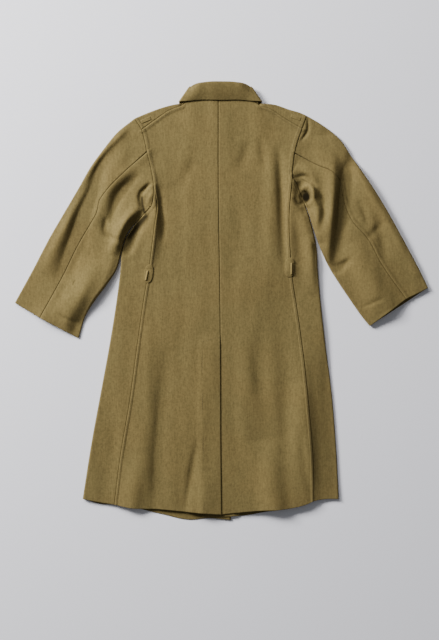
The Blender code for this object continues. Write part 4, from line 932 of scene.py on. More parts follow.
def back_panel(side):
    """A back's points, cells and upper part, from its seam with the front and the armhole to the centre seam."""
    is_left = side is LEFT
    from_seam, to_shoulder = (share_at(side.armhole, knot) for knot in (BACK_KNOT, SHOULDER_KNOT))
    patch = Patch(
        curve(side.back_hem, share_at(side.back_hem, HEM_KNOT), 1),
        joined(curve(side.shoulder_seam, 1, 0), curve(side.back_neck), BACK_SHOULDER_PART),
        joined(curve(side.back_seam), curve(side.armhole, from_seam, to_shoulder), BACK_SEAM_PART),
        curve(CENTRE_SEAM),
    )
    rows = spaced(chord_length(CENTRE_SEAM), NEAR_HEM, NEAR_LAP, BACK_ROWS)
    extra = 0 if is_left else UNDERLAP_COLUMNS
    plan = np.zeros((BACK_COLUMNS + 1 + extra, len(rows), 2))
    for j, v in enumerate(rows):
        width = np.linalg.norm(patch(1, v) - patch(0, v))
        columns = spaced(width, NEAR_LAP, NEAR_CENTRE, BACK_COLUMNS)
        inset = SEAM_GAP / 2 / width
        row = patch(inset + columns * (1 - 2 * inset), np.clip(v, 0, 1 - SEAM_GAP / 2))
        if extra:
            under = row[-1] - np.outer(np.arange(1, extra + 1) / extra, [VENT_UNDERLAP, 0])
            row = np.vstack([row, under])
        plan[:, j] = row
    points = raised(plan, vent_height if is_left else layer_height)
    if extra:
        points[BACK_COLUMNS + 1:] = raised(plan[BACK_COLUMNS + 1:], smooth_height)
    vent_rows = np.searchsorted(rows, VENT_TOP_SHARE)
    kept = None if is_left else (lambda i, j: i < BACK_COLUMNS or j < vent_rows)
    upper = np.ones(points.shape[:2], bool)
    upper[BACK_COLUMNS + 1:] = False
    return points, kept, upper


def front_columns(patch, v, ramp, neck_part):
    """Shares across a front's row, which keep to the lap's edge, the centre front and the lap's ramp."""
    shares = np.linspace(0, 1, FRONT_ROW_SAMPLES)
    row_x = patch(shares, v)[:, 0]
    order = np.argsort(row_x)
    lap = np.interp([0, *sorted(ramp, key=abs)], row_x[order], shares[order])
    to_neck = np.linspace(lap[2], neck_part, FRONT_CELLS - FRONT_SHOULDER_CELLS - len(ramp))
    to_side = np.linspace(neck_part, 1, FRONT_SHOULDER_CELLS + 1)[1:]
    knots = np.concatenate([[0], lap[:2], to_neck, to_side])
    places = np.linspace(0, FRONT_CELLS, FRONT_COLUMNS + 1)
    columns = np.interp(places, np.arange(FRONT_CELLS + 1), knots)
    if neck_part < 1:
        left_over = np.linspace(1, 0, FRONT_COLUMNS - NECK_COLUMN + 1)
        columns[NECK_COLUMN:] = 1 - (1 - neck_part) * left_over**NEAR_SIDE_POWER
    return columns


def front_panel(side):
    """A front in the same form, from the lap on the underside round the side and over the shoulder to the back."""
    armhole = Armhole(side, -1)
    height = left_front_height if side is LEFT else right_front_height
    seam_top = share_at(side.armhole, BACK_KNOT)
    middle = along(side.front_edge, [UNDERARM_LEVEL])[0]
    pit = np.array(side.side_fold[-1])
    underarm_line = [middle, 0.5 * (middle + pit), side.side_fold[-1]]
    lower = Patch(curve(side.front_hem), curve(underarm_line), curve(side.front_edge, 0, UNDERARM_LEVEL),
                  curve(side.side_fold))
    neck_part = NECK_COLUMN / FRONT_COLUMNS
    ramp = LEFT_LAP_RAMP if side is LEFT else RIGHT_LAP_RAMP
    upper = Patch(
        curve(underarm_line),
        joined(curve(side.neckline), curve(side.shoulder_fold), neck_part),
        curve(side.front_edge, UNDERARM_LEVEL, 1),
        curve(side.front_armhole, 1, 0),
    )
    strip = Patch(curve(side.back_hem, share_at(side.back_hem, HEM_KNOT), 0), curve(side.armhole, seam_top, 1),
                  curve(side.back_seam), curve(side.side_fold))
    shoulder = Patch(curve(side.shoulder_fold), curve(side.shoulder_seam),
                     curve([side.shoulder_fold[0], side.shoulder_seam[0]]),
                     curve(side.armhole, 0, share_at(side.armhole, SHOULDER_KNOT)))
    strip_columns = UNDERARM_AT - BACK_SEAM_AT
    first_strip = FRONT_COLUMNS + FOLD_STEPS
    row_shares = spaced(chord_length(side.side_fold), NEAR_HEM, [0], SEAM_ROWS)
    last_row, last_low = SEAM_ROWS, SEAM_ROWS + UNDER_ROWS
    points = np.zeros((first_strip + strip_columns + 1, last_low + FOLD_STEPS + SHOULDER_SEAM_AT + 1, 3))
    strip_shares = stretched(armhole.top_shares[BACK_SEAM_AT:])
    edges = along(side.side_fold, row_shares)
    radii = radii_at(edges)
    lows, highs, ways = [], [], []
    for v, edge, radius in zip(row_shares, edges, radii):
        lower_width = np.linalg.norm(lower(0, v) - edge)
        strip_width = np.linalg.norm(strip(0, v) - edge)
        near_seam = spaced(strip_width, NEAR_LAP, [0], strip_columns)
        to_ring = smooth_step(NEAR_RING, 1, v)
        spread = strip_shares * to_ring + near_seam * (1 - to_ring)
        low = lower(front_columns(lower, v, ramp, neck_part) * (1 - radius / lower_width), v)
        inset = SEAM_GAP / 2 / strip_width
        high = strip(inset + spread * (1 - radius / strip_width - inset), v)
        inward = inward_from(side.side_fold, v, low[0], pit)
        lows.append(ending_at(low, edge + inward * radius))
        highs.append(ending_at(high, edge + inward * radius))
        ways.append(inward)
    low, high = raised(lows, height), raised(highs, layer_height)
    for j in range(last_row):
        turn = roll(edges[j], ways[j], ways[j], high[j, -1, 2], low[j, -1, 2], radii[j])
        points[:, j] = np.vstack([low[j], turn[::-1], high[j, ::-1]])
    low[last_row, -1] = armhole.under[0]
    points[:, last_row] = np.vstack([low[last_row], armhole.pit[::-1], armhole.top[BACK_SEAM_AT:][::-1]])

    plans = []
    for k in range(1, UNDER_ROWS + 1):
        v = 1 - armhole.under_shares[k]
        columns_at = front_columns(upper, v, ramp, neck_part)
        if k == UNDER_ROWS:
            v = np.where(columns_at < neck_part, 1 - SEAM_GAP, v)
        plans.append(upper(columns_at, v))
    rows = raised(plans, height)
    rows[:, -1] = armhole.under[1:]
    points[: FRONT_COLUMNS + 1, last_row + 1: last_low + 1] = rows.transpose(1, 0, 2)

    for i in range(NECK_COLUMN, FRONT_COLUMNS + 1):
        s = 1 - ((FRONT_COLUMNS - i) / (FRONT_COLUMNS - NECK_COLUMN)) ** NEAR_SIDE_POWER
        edge = along(side.shoulder_fold, [s])[0]
        low_point = points[i, last_low]
        radius = float(roll_radius(smooth_height(*edge)[0], height(*edge)[0]))
        width = np.linalg.norm(shoulder(s, 1)[0] - edge)
        if i < FRONT_COLUMNS:
            plan = edge + unit(points[i, last_low - 2][:2] - edge) * radius
            low_point = raised(plan[None], height)[0]
            points[i, last_low] = low_point
        shares = stretched(armhole.top_shares[: SHOULDER_SEAM_AT + 1])
        shares = radius / width + (1 - (radius + SEAM_GAP / 2) / width) * shares
        high = raised(np.vstack([shoulder(s, share) for share in shares]), layer_height)
        turn = roll_between(edge, high[0], low_point, radius)
        if i == FRONT_COLUMNS:
            high, turn = armhole.top[: SHOULDER_SEAM_AT + 1], armhole.tip
        points[i, last_low + 1:] = np.vstack([turn[::-1], high])

    def kept(i, j):
        """All cells but those beyond the armhole and over the neck."""
        beside_armhole = i >= FRONT_COLUMNS and j >= last_row
        above_neck = i < NECK_COLUMN and j >= last_low
        return not (beside_armhole or above_neck)

    on_top = np.zeros(points.shape[:2], bool)
    on_top[first_strip:] = True
    on_top[:, last_low + FOLD_STEPS:] = True
    return points, kept, on_top


def sleeve_piece(side, is_top):
    """One of a sleeve's two pieces, each from the seam behind the arm round a fold to the seam on the underside."""
    armhole = Armhole(side, 1)
    seam_share = share_at(side.armhole, SLEEVE_KNOT)
    cuff_outer, cuff_seam, cuff_inner = (line[-1] for line in
                                         (side.sleeve_outer, side.sleeve_seam, side.sleeve_inner))
    outer_zone = Patch(curve(side.armhole, 0, seam_share), curve([cuff_outer, cuff_seam]),
                       curve(side.sleeve_outer), curve(side.sleeve_seam), SLEEVE_FADE)
    inner_zone = Patch(curve(side.armhole, seam_share, 1), curve([cuff_seam, cuff_inner]),
                       curve(side.sleeve_seam), curve(side.sleeve_inner), SLEEVE_FADE)
    under_zone = Patch(curve(side.front_armhole, 1, 0), curve([cuff_inner, cuff_outer]),
                       curve(side.sleeve_inner), curve(side.sleeve_outer), SLEEVE_FADE)
    zone = outer_zone if is_top else inner_zone
    edge_line = side.sleeve_outer if is_top else side.sleeve_inner
    under_shares = 1 - armhole.under_shares
    if is_top:
        stations, under = slice(SLEEVE_SEAM_AT, None, -1), slice(UNDER_ROWS, SLEEVE_FRONT_SEAM - 1, -1)
        shares = stretched(armhole.top_shares[: SLEEVE_SEAM_AT + 1])
        corner, last = armhole.tip, SEAM_GAP / 2
    else:
        stations, under = slice(SLEEVE_SEAM_AT, UNDERARM_AT + 1), slice(0, SLEEVE_FRONT_SEAM + 1)
        shares = stretched(armhole.top_shares[SLEEVE_SEAM_AT:])
        corner, last = armhole.pit, -SEAM_GAP / 2
    spread = stretched(under_shares[under])
    row_shares = spaced(chord_length(edge_line), NEAR_ARMHOLE, NEAR_HEM, SLEEVE_ROWS)
    edges = along(edge_line, row_shares)
    radii = radii_at(edges)
    highs, lows, ways = [], [], []
    for v, edge, radius in zip(row_shares, edges, radii):
        length = np.linalg.norm(zone(0, v) - zone(1, v))
        under_length = np.linalg.norm(under_zone(0, v) - under_zone(1, v))
        inset = SEAM_GAP / 2 / length
        near_seam = spaced(length, [0], NEAR_LAP, len(shares) - 1)
        if not is_top:
            near_seam = 1 - near_seam[::-1]
        from_ring = smooth_step(1 - NEAR_RING, 0, v)
        spaces = shares * from_ring + near_seam * (1 - from_ring)
        if is_top:
            high = zone(radius / length + spaces * (1 - radius / length - inset), v)[::-1]
            first = 1 - radius / under_length
        else:
            high = zone(inset + spaces * (1 - radius / length - inset), v)
            first = radius / under_length
        end = under_shares[SLEEVE_FRONT_SEAM] + last / under_length
        low = under_zone(first + (end - first) * spread, v)
        inward = inward_from(edge_line, v, low[-1], side.side_fold[-1])
        highs.append(ending_at(high, edge + inward * radius))
        lows.append(ending_at(low[::-1], edge + inward * radius)[::-1])
        ways.append(inward)
    high, low = raised(highs, layer_height), raised(lows, sleeve_under_height)
    points = np.zeros((high.shape[1] + FOLD_STEPS - 1 + low.shape[1], SLEEVE_ROWS + 1, 3))
    for j in range(1, SLEEVE_ROWS + 1):
        turn = roll(edges[j], ways[j], ways[j], high[j, -1, 2], low[j, 0, 2], radii[j])
        points[:, j] = np.vstack([high[j], turn, low[j]])
    points[:, 0] = np.vstack([armhole.top[stations], corner, armhole.under[under]])
    on_top = np.zeros(points.shape[:2], bool)
    on_top[: high.shape[1]] = True
    return points, None, on_top


def beside(points, shares, gap):
    """Points at shares of a neck curve, moved by a gap into the neck opening."""
    across = left_of(points, shares)
    return along(points, shares) + across * np.sign(across[:, 1])[:, None] * gap


def turned_ring(unders, tops, sides, radii, trims):
    """A line of the collar joined up: under the coat, round each side and across the back."""
    turns = []
    for half, near in ((0, tops[0]), (1, tops[-1])):
        side_point, last = np.array(sides[half]), unders[half][-1]
        over, below = unit(near[:2] - side_point), unit(last[:2] - side_point)
        edge = side_point - unit(over + below) * (radii[half] - trims[half])
        turns.append(roll(edge, over, below, near[2], last[2], radii[half], COLLAR_TURN))
    return np.vstack([unders[0], turns[0][::-1], tops, turns[1], unders[1][::-1]])


def collar_ring(front, back, low, high, trims=None):
    """One line of the collar all the way round: flat under the coat, turned at each side and flat on top."""
    radii = [float(high(along(back, [end]))[0] - low[half](along(front[half], [COLLAR_TURN_AT]))[0]) / 2
             for half, end in enumerate((0, 1))]
    trims = radii if trims is None else trims
    unders = []
    for half in (0, 1):
        end = 1 - trims[half] / chord_length(front[half])
        plan = along(front[half], np.linspace(0, end, COLLAR_FRONT_CELLS + 1))
        unders.append(np.column_stack([plan, low[half](plan)]))
    length = chord_length(back)
    plan = along(back, np.linspace(trims[0] / length, 1 - trims[1] / length, COLLAR_BACK_CELLS + 1))
    tops = np.column_stack([plan, high(plan)])
    return turned_ring(unders, tops, [back[0], back[-1]], radii, trims), radii


def stand_foot(low, high):
    """The stand's foot, beside the neckline of the fronts and backs."""
    unders, tops = [], []
    for half, side in enumerate((LEFT, RIGHT)):
        ramp = (LEFT_LAP_RAMP, RIGHT_LAP_RAMP)[half]
        stations = front_columns(lambda s, v: along(side.neckline, s), 1, ramp, 1)
        stations = stations[FRONT_COLUMNS // FRONT_CELLS: NECK_COLUMN + 1]
        shares = np.interp(np.linspace(0, 1, COLLAR_FRONT_CELLS + 1), np.linspace(0, 1, len(stations)), stations)
        plan = beside(side.neckline, shares * (1 - NECK_SIDE_SHARE), COLLAR_GAP)
        unders.append(np.column_stack([plan, low[half](plan)]))
        tops.append(beside(side.back_neck, np.linspace(NECK_SIDE_SHARE, 1, COLLAR_BACK_CELLS // 2 + 1), COLLAR_GAP))
    plan = np.vstack([tops[0], tops[1][-2::-1]])
    tops = np.column_stack([plan, high(plan)])
    sides = [STAND_SIDE, (-STAND_SIDE[0], STAND_SIDE[1])]
    radii = [float(tops[end][2] - unders[half][-1][2]) / 2 for half, end in enumerate((0, -1))]
    return turned_ring(unders, tops, sides, radii, radii)


def both_sides(points):
    """A line of the left half, and its mirror image."""
    return [points, [(-x, y) for x, y in points]]


def side_to_side(points):
    """A line from the left side to the middle of the back, carried on to the right side."""
    return points + [(-x, y) for x, y in points[-2::-1]]


def collar_points():
    """The middle of the collar's cloth from the foot of the stand to the edge of the fall."""

    def over_back(loft):
        return lambda plan: smooth_height(plan[:, 0], np.minimum(plan[:, 1], COLLAR_BACK_Y)) + loft

    def fall_height(plan):
        return over_back(LAYER + FALL_LOFT[0])(plan) + FALL_RISE * smooth_step(*FALL_RISE_X, np.abs(plan[:, 0]))

    def edge_height(plan):
        lift = COLLAR_END_LIFT * smooth_step(*COLLAR_END_X, np.abs(plan[:, 0]))
        return over_back(LAYER + FALL_LOFT[1])(plan) + lift

    def front_foot(height):
        return lambda plan: height(plan[:, 0], np.minimum(plan[:, 1], COLLAR_FRONT_Y))

    def on_floor(plan):
        return np.full(len(plan), LOWER_LEVEL)

    on_fronts = [front_foot(left_front_height), front_foot(right_front_height)]
    seams = stand_foot(on_fronts, over_back(0))
    fold_front = both_sides([*STAND_TOP_FRONT, STAND_TOP_SIDE])
    fold_back = side_to_side([STAND_TOP_SIDE, *STAND_TOP_BACK])
    stand_tops, trims = collar_ring(fold_front, fold_back, on_fronts, over_back(0))
    fall_tops = collar_ring(fold_front, fold_back, [on_floor] * 2, fall_height, trims)[0]
    edges = collar_ring(both_sides([*FALL_EDGE_FRONT, FALL_EDGE_SIDE]),
                        side_to_side([FALL_EDGE_SIDE, *FALL_EDGE_BACK]), [on_floor] * 2, edge_height)[0]
    centres, halfway = (stand_tops + fall_tops) / 2, (stand_tops - fall_tops) / 2
    radii = np.linalg.norm(halfway, axis=1, keepdims=True)
    away = stand_tops - seams
    for other in (unit(np.gradient(stand_tops, axis=0)), halfway / radii):
        away = away - other * (away * other).sum(axis=1, keepdims=True)
    away = unit(away)
    turns = np.pi * np.arange(COLLAR_FOLD + 1) / COLLAR_FOLD
    stand_shares = np.arange(STAND_CELLS) / STAND_CELLS
    fall_shares = spaced(1, [0], [gap / FALL_DEPTH for gap in NEAR_FALL_EDGE], FALL_CELLS)[1:]
    section = [seams + (stand_tops - seams) * share for share in stand_shares]
    reach = np.minimum(radii, FOLD_REACH)
    section += [centres + halfway * math.cos(turn) + away * reach * math.sin(turn) for turn in turns]
    for share in fall_shares:
        row = fall_tops + (edges - fall_tops) * share
        row[:, 2] = fall_tops[:, 2] + (edges[:, 2] - fall_tops[:, 2]) * share**FALL_SLOPE
        section.append(row)
    return np.stack(section)


def loop_points(loop):
    """An oval of cloth on a back seam, with a narrow band standing up on it beside the slot for the belt."""
    lengths, widths = np.meshgrid(*(np.linspace(-1, 1, cells + 1) for cells in LOOP_CELLS))
    power, least = LOOP_BLUNTNESS
    rounding = np.maximum(np.maximum(1 - np.abs(lengths) ** power, 0) ** 0.5, least)
    x = loop.centre[0] + widths * rounding * loop.half[0] + loop.lean * lengths
    y = loop.centre[1] + lengths * loop.half[1]
    beside = x - loop.centre[0] - loop.band_x - loop.band_lean * lengths
    there = smooth_step(loop.band_low - BAND_ENDS, loop.band_low + BAND_ENDS, lengths)
    there = there * smooth_step(loop.band_high + BAND_ENDS, loop.band_high - BAND_ENDS, lengths)
    band = np.exp(-(beside / BAND_WIDTH) ** 4)
    slot = SLOT_DEPTH * smooth_step(*SLOT_START, beside) * smooth_step(loop.slot + SLOT_END, loop.slot, beside)
    points = raised(np.stack([x, y], axis=-1), smooth_height)
    points[..., 2] += LOOP_LOFT + LOOP_DOME * (1 - widths**2) * (1 - lengths**2) + there * (BAND_RISE * band - slot)
    # The band is painted lighter than the rest of the loop
    return points, BAND_LIGHTENING * there * band


def tab_points(side):
    """The small loop for a shoulder mark, sewn beside the armhole."""
    ends = along(side.shoulder_fold, [TAB_SHARE, TAB_SHARE + TAB_AHEAD])
    run = unit(ends[1] - ends[0])
    across = np.array([run[1], -run[0]]) * (1 if side is RIGHT else -1)
    a, b = np.meshgrid(*(np.linspace(-0.5, 0.5, cells + 1) for cells in TAB_CELLS), indexing="ij")
    plan = ends[0] + run * a[..., None] * TAB_SIZE[0] + across * (TAB_IN + b[..., None] * TAB_SIZE[1])
    points = raised(plan, smooth_height)
    points[..., 2] += TAB_LOFT + TAB_BOW * np.cos(np.pi * a)
    return points


def add_ball(bm, cells, place, half):
    """Adds a stretched ball of thread, half as long, wide and high as it is."""
    bmesh.ops.create_uvsphere(bm, u_segments=cells[0], v_segments=cells[1], radius=1,
                              matrix=place @ Matrix.Diagonal((*half, 1)))


def button_mesh(name, button_y):
    """A dished button with a rounded rim and a sewn middle, turned on a lathe."""
    bm = bmesh.new()
    verts = [bm.verts.new((r, 0, z)) for r, z in BUTTON_PROFILE]
    edges = [bm.edges.new(pair) for pair in zip(verts, verts[1:])]
    bmesh.ops.spin(bm, geom=verts + edges, cent=(0, 0, 0), axis=(0, 0, 1), angle=math.tau,
                   steps=BUTTON_STEPS, use_merge=True, use_duplicate=False)
    bmesh.ops.remove_doubles(bm, verts=bm.verts[:], dist=MERGE_WITHIN)
    for x in BUTTON_THREAD_XS:
        add_ball(bm, BUTTON_THREAD_CELLS, Matrix.Translation((x, 0, BUTTON_THREAD_Z)), BUTTON_THREAD_HALF)
    bmesh.ops.recalc_face_normals(bm, faces=bm.faces[:])
    bmesh.ops.translate(bm, verts=bm.verts[:], vec=(BUTTON_X, button_y, 0))
    return finished_mesh(name, bm)


def stitch_row(bm, line, height):
    """Adds one stitch after another along plan points, lying on a surface of the given height."""
    sizes = settings()
    half = (sizes.stitch_length / 2, sizes.stitch_thickness / 2, sizes.stitch_thickness * STITCH_ROUND)
    length = chord_length(line)
    places = np.arange(sizes.stitch_step / 2, length, sizes.stitch_step) / length
    plan, ahead = along(line, places), along(line, places + STITCH_AHEAD / length)
    heights = height(plan[:, 0], plan[:, 1])
    rises = height(ahead[:, 0], ahead[:, 1]) - heights
    for at, towards, z, rise in zip(plan, ahead, heights, rises):
        run = Vector((*(towards - at), rise)).normalized()
        across = Vector((0, 0, 1)).cross(run).normalized()
        turned = Matrix((run, across, run.cross(across))).transposed().to_4x4()
        add_ball(bm, STITCH_CELLS, Matrix.Translation((*at, z + CLOTH / 2)) @ turned, half)


def offset_line(points, away):
    """Points beside a curve, to its left for a positive distance."""
    shares = np.linspace(STITCH_ENDS, 1 - STITCH_ENDS, STITCH_SAMPLES)
    return along(points, shares) + left_of(points, shares) * away


class Nodes:
    """Adds nodes to one material and joins them."""

    def __init__(self, name):
        self.material = bpy.data.materials.new(name)
        self.material.use_nodes = True
        self.tree = self.material.node_tree
        self.place = self.add("ShaderNodeTexCoord").outputs["Object"]

    def give(self, node, inputs):
        """Fills a node's inputs, each from another node's output or with a value of its own."""
        for key, source in inputs.items():
            if isinstance(source, bpy.types.NodeSocket):
                self.tree.links.new(source, node.inputs[key])
            else:
                node.inputs[key].default_value = source

    def add(self, kind, inputs=None, **values):
        """Adds a node with its own values set and its inputs filled."""
        node = self.tree.nodes.new(kind)
        for key, value in values.items():
            setattr(node, key, value)
        self.give(node, inputs or {})
        return node

    def noise(self, scale, detail=2.0, roughness=0.5, stretch=(1, 1, 1), turn=0.0):
        """Cloudy noise, squeezed along each axis by stretch and turned about the upright."""
        mapping = self.add("ShaderNodeMapping", {"Scale": stretch, "Rotation": (0, 0, turn), "Vector": self.place})
        inputs = {"Scale": scale, "Detail": detail, "Roughness": roughness, "Vector": mapping.outputs["Vector"]}
        return self.add("ShaderNodeTexNoise", inputs).outputs["Fac"]

    def ramp(self, source, low, high, low_value=0.0, high_value=1.0):
        """Turns a value's range into another one, with soft ends."""
        inputs = {"Value": source, "From Min": low, "From Max": high, "To Min": low_value, "To Max": high_value}
        return self.add("ShaderNodeMapRange", inputs, interpolation_type="SMOOTHSTEP").outputs["Result"]

    def attribute(self, name):
        """A number that each vertex carries."""
        return self.add("ShaderNodeAttribute", attribute_name=name).outputs["Fac"]

    def mix(self, factor, first, second, blend="MIX"):
        """A mixture of two colours. The node's inputs share their names, so they go by number."""
        inputs = {0: factor, 6: first, 7: second}
        return self.add("ShaderNodeMix", inputs, data_type="RGBA", blend_type=blend).outputs[2]

    def math(self, operation, first, second):
        """Two values added or multiplied."""
        return self.add("ShaderNodeMath", {0: first, 1: second}, operation=operation).outputs["Value"]

    def bump(self, height, distance, strength=1.0):
        """The directions of a surface with this relief."""
        inputs = {"Distance": distance, "Strength": strength, "Height": height}
        return self.add("ShaderNodeBump", inputs).outputs["Normal"]

    def surface(self, colour, **inputs):
        """Fills the shader's own inputs, and gives the finished material."""
        inputs = {key.replace("_", " "): source for key, source in inputs.items()}
        self.give(self.tree.nodes["Principled BSDF"], {"Base Color": colour, **inputs})
        return self.material


def felted_wool(n, c):
    """Heavy felted wool: mixed brown and green fibres, a faint upright grain, painted light on the folds' ridges and
    painted shade in their troughs, dark seam lines and snags, and painted shade in the underarm hollow and where the
    sleeves shelter the cloth.
    """
    clouds = n.noise(7.0, 3.0, 0.55)
    patches = n.noise(34.0, 3.0, 0.6, (1.0, 0.7, 1.0))
    mottle = n.noise(190.0, 3.0, 0.62)
    grain = n.noise(330.0, 2.0, 0.55, (1.0, 0.16, 1.0))
    nap = n.noise(900.0, 2.0, 0.6)
    colour = n.mix(n.ramp(clouds, 0.36, 0.62), tuple(c.wool_brown), tuple(c.wool_green))
    colour = n.mix(0.55, colour, tuple(c.wool))
    colour = n.mix(n.ramp(patches, 0.40, 0.66, 0.0, 0.07), colour, tuple(c.wool_brown))
    light = n.math("ADD", n.ramp(mottle, 0.30, 0.70, 0.86, 1.10), n.ramp(grain, 0.3, 0.7, -0.09, 0.09))
    light = n.math("ADD", light, n.ramp(nap, 0.25, 0.75, -0.10, 0.10))
    # Painted light on the folds' ridges and painted shade in their troughs
    light = n.math("ADD", light, n.math("MULTIPLY", n.attribute("lie"), 0.07))
    colour = n.mix(1.0, colour, light, "MULTIPLY")
    # Dark seam lines, stitches and snags, and painted shade in the hollow and where the sleeves shelter the cloth
    colour = n.mix(n.ramp(n.attribute("dark"), 0.0, 1.0, 0.0, 0.97), colour, tuple(c.seam))
    height = n.math("ADD", n.math("MULTIPLY", mottle, 0.35), n.math("MULTIPLY", nap, 0.7))
    height = n.math("ADD", height, n.math("MULTIPLY", grain, 0.35))
    return n.surface(colour, Roughness=0.95, Specular_IOR_Level=0.10, Sheen_Weight=0.11, Sheen_Roughness=0.45,
                     Sheen_Tint=(0.62, 0.52, 0.28, 1.0), Normal=n.bump(height, 0.0009, 0.55))


def sewing_thread(n, c):
    """Dull twisted sewing thread."""
    twist = n.noise(1600.0)
    colour = n.mix(n.ramp(twist, 0.3, 0.7, 0.0, 0.5), tuple(c.thread), tuple(c.seam))
    return n.surface(colour, Roughness=0.75, Normal=n.bump(twist, 0.0002, 0.5))


def button_horn(n, c):
    """Satin horn with darker clouds and fine scratches."""
    clouds, streaks = n.noise(180.0, 3.0, 0.6), n.noise(900.0, 2.0, 0.6, (1.0, 0.1, 1.0), 0.6)
    colour = n.mix(n.ramp(clouds, 0.35, 0.65, 0.0, 0.7), tuple(c.horn), tuple(c.horn_dark))
    colour = n.mix(n.ramp(streaks, 0.55, 0.8, 0.0, 0.3), colour, tuple(c.horn_pale))
    return n.surface(colour, Roughness=n.ramp(streaks, 0.3, 0.8, 0.34, 0.55), Normal=n.bump(streaks, 0.0002, 0.3))


def backdrop_paper(n, c):
    """Pale paper with faint fibres."""
    fibres = n.ramp(n.noise(260.0, 3.0, 0.6), 0.3, 0.7, 0.0, 0.03)
    return n.surface(n.mix(fibres, tuple(c.floor), tuple(c.floor_grey)), Roughness=0.9, Specular_IOR_Level=0.2)


def material(make):
    """The material that a function makes, called as the function is and made only once."""
    name = make.__name__
    return bpy.data.materials.get(name) or make(Nodes(name), colours())


class GREATCOAT_OT_backs(bpy.types.Operator):
    """Makes the two backs, with the vent between them"""

    bl_idname = "greatcoat.backs"
    bl_label = "Backs"

    def execute(self, context):
        for side, word in SIDES:
            add_cloth(f"back_{word}", *back_panel(side), cut="back", rests_on=[f"front_{word}"])
        return {"FINISHED"}


class GREATCOAT_OT_fronts(bpy.types.Operator):
    """Makes the two fronts, each round its side and over its shoulder"""

    bl_idname = "greatcoat.fronts"
    bl_label = "Fronts"

    def execute(self, context):
        for side, word in SIDES:
            add_cloth(f"front_{word}", *front_panel(side), cut="front", rests_on=["floor"])
        return {"FINISHED"}


class GREATCOAT_OT_sleeves(bpy.types.Operator):
    """Makes the top and under piece of both sleeves"""

    bl_idname = "greatcoat.sleeves"
    bl_label = "Sleeves"

    def execute(self, context):
        for side, word in SIDES:
            for part, is_top in (("topsleeve", True), ("undersleeve", False)):
                add_cloth(f"{part}_{word}", *sleeve_piece(side, is_top), cut=part, rests_on=["floor"])
        return {"FINISHED"}


class GREATCOAT_OT_collar(bpy.types.Operator):
    """Makes the collar's stand and the fall that turns down over it"""

    bl_idname = "greatcoat.collar"
    bl_label = "Collar"

    def execute(self, context):
        points = collar_points()
        stand, fall = points[: STAND_CELLS + 1].copy(), points[STAND_CELLS:]
        stand[-1] = stand[-2] + (stand[-1] - stand[-2]) * STAND_TOP_SHARE
        for node, part in (("collar_stand", stand), ("collar_fall", fall)):
            add_cloth(node, part, cut=node, rests_on=["front_left", "front_right"])
        return {"FINISHED"}


class GREATCOAT_OT_belt_loops(bpy.types.Operator):
    """Makes the belt loops on the back seams: an oval of cloth with a band that stands off it"""

    bl_idname = "greatcoat.belt_loops"
    bl_label = "Belt loops"

    def execute(self, context):
        for word, loop in LOOPS.items():
            points, worn = loop_points(loop)
            add_cloth(f"belt_loop_{word}", points, thickness=LOOP_CLOTH, worn=worn)
        return {"FINISHED"}


class GREATCOAT_OT_shoulder_tabs(bpy.types.Operator):
    """Makes the small loops for shoulder marks"""

    bl_idname = "greatcoat.shoulder_tabs"
    bl_label = "Shoulder tabs"

    def execute(self, context):
        for side, word in SIDES:
            add_cloth(f"shoulder_tab_{word}", tab_points(side), thickness=TAB_CLOTH)
        return {"FINISHED"}


class GREATCOAT_OT_buttons(bpy.types.Operator):
    """Makes the buttons down the front, on the underside"""

    bl_idname = "greatcoat.buttons"
    bl_label = "Buttons"

    def execute(self, context):
        for number, button_y in enumerate(BUTTON_YS, 1):
            mesh = button_mesh(f"button_{number}_horn", button_y)
            add_piece(mesh, material(button_horn), [f"button_{number}"])
        return {"FINISHED"}


class GREATCOAT_OT_stitching(bpy.types.Operator):
    """Sews the visible rows of stitches"""

    bl_idname = "greatcoat.stitching"
    bl_label = "Stitching"

    def execute(self, context):
        bm = bmesh.new()
        for seam in UPPER_SEAMS:
            height = vent_height if seam.groove == 0 else layer_height
            for row in seam.rows:
                stitch_row(bm, offset_line(seam.line, row), height)
        add_piece(finished_mesh("seam_stitches", bm), material(sewing_thread), [])
        return {"FINISHED"}


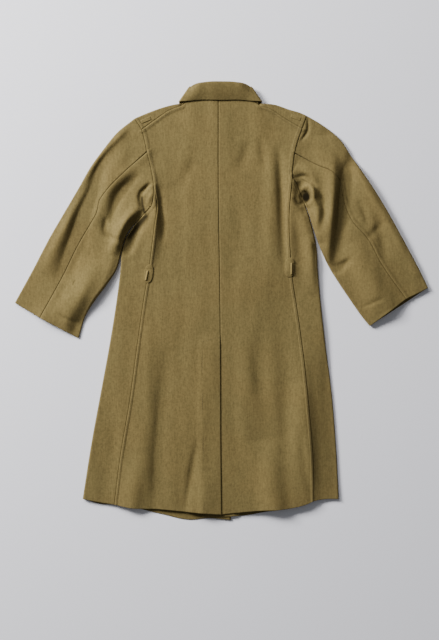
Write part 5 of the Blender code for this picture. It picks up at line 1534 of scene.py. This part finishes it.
class GREATCOAT_OT_stage(bpy.types.Operator):
    """Makes the pale surface, the soft light from the upper left and the camera straight above"""

    bl_idname = "greatcoat.stage"
    bl_label = "Stage"

    def execute(self, context):
        bm = bmesh.new()
        bmesh.ops.create_grid(bm, x_segments=1, y_segments=1, size=FLOOR_HALF)
        mesh = bpy.data.meshes.new("floor")
        bm.to_mesh(mesh)
        bm.free()
        mesh.materials.append(material(backdrop_paper))
        floor = bpy.data.objects.new("floor", mesh)
        context.scene.collection.objects.link(floor)
        for name, at, power, size in LIGHTS:
            lamp = bpy.data.lights.new(name, "AREA")
            lamp.energy, lamp.size = power, size
            holder = bpy.data.objects.new(name, lamp)
            holder.location = at
            holder.rotation_euler = (-Vector(at)).to_track_quat("-Z", "Y").to_euler()
            context.scene.collection.objects.link(holder)
        world = bpy.data.worlds.new("studio")
        world.use_nodes = True
        background = world.node_tree.nodes["Background"]
        background.inputs["Color"].default_value = SKY
        background.inputs["Strength"].default_value = WORLD_STRENGTH
        context.scene.world = world
        sizes = settings()
        camera_data = bpy.data.cameras.new("camera")
        camera_data.angle = 2 * math.atan(sizes.view_height / 2 / sizes.camera_height)
        camera = bpy.data.objects.new("camera", camera_data)
        camera.location = (VIEW_CENTRE[0], VIEW_CENTRE[1], sizes.camera_height + UPPER_LEVEL)
        context.scene.collection.objects.link(camera)
        context.scene.camera = camera
        return {"FINISHED"}


OPERATORS = (GREATCOAT_OT_backs, GREATCOAT_OT_fronts, GREATCOAT_OT_sleeves, GREATCOAT_OT_collar,
             GREATCOAT_OT_belt_loops, GREATCOAT_OT_shoulder_tabs, GREATCOAT_OT_buttons, GREATCOAT_OT_stitching,
             GREATCOAT_OT_stage)


class GREATCOAT_PT_panel(bpy.types.Panel):
    """The greatcoat's pieces, sizes and colours"""

    bl_idname = "GREATCOAT_PT_panel"
    bl_label = "Greatcoat"
    bl_space_type = "VIEW_3D"
    bl_region_type = "UI"
    bl_category = "Greatcoat"

    def draw(self, context):
        for group in (context.scene.greatcoat_sizes, context.scene.greatcoat_colours):
            for key in group.bl_rna.properties.keys():
                if key not in ("rna_type", "name"):
                    self.layout.prop(group, key)
        for operator in OPERATORS:
            self.layout.operator(operator.bl_idname)


CLASSES = (GreatcoatSizes, GreatcoatColours, *OPERATORS, GREATCOAT_PT_panel)


def register():
    """Adds the add-on's classes and settings."""
    for each in CLASSES:
        bpy.utils.register_class(each)
    bpy.types.Scene.greatcoat_sizes = bpy.props.PointerProperty(type=GreatcoatSizes)
    bpy.types.Scene.greatcoat_colours = bpy.props.PointerProperty(type=GreatcoatColours)


def unregister():
    """Takes them out again."""
    del bpy.types.Scene.greatcoat_sizes
    del bpy.types.Scene.greatcoat_colours
    for each in reversed(CLASSES):
        bpy.utils.unregister_class(each)


def main():
    """Builds every piece and the stage."""
    register()
    bpy.ops.greatcoat.backs()
    bpy.ops.greatcoat.fronts()
    bpy.ops.greatcoat.sleeves()
    bpy.ops.greatcoat.collar()
    bpy.ops.greatcoat.belt_loops()
    bpy.ops.greatcoat.shoulder_tabs()
    bpy.ops.greatcoat.buttons()
    bpy.ops.greatcoat.stitching()
    bpy.ops.greatcoat.stage()
    bpy.context.view_layer.update()


if __name__ == "__main__":
    main()
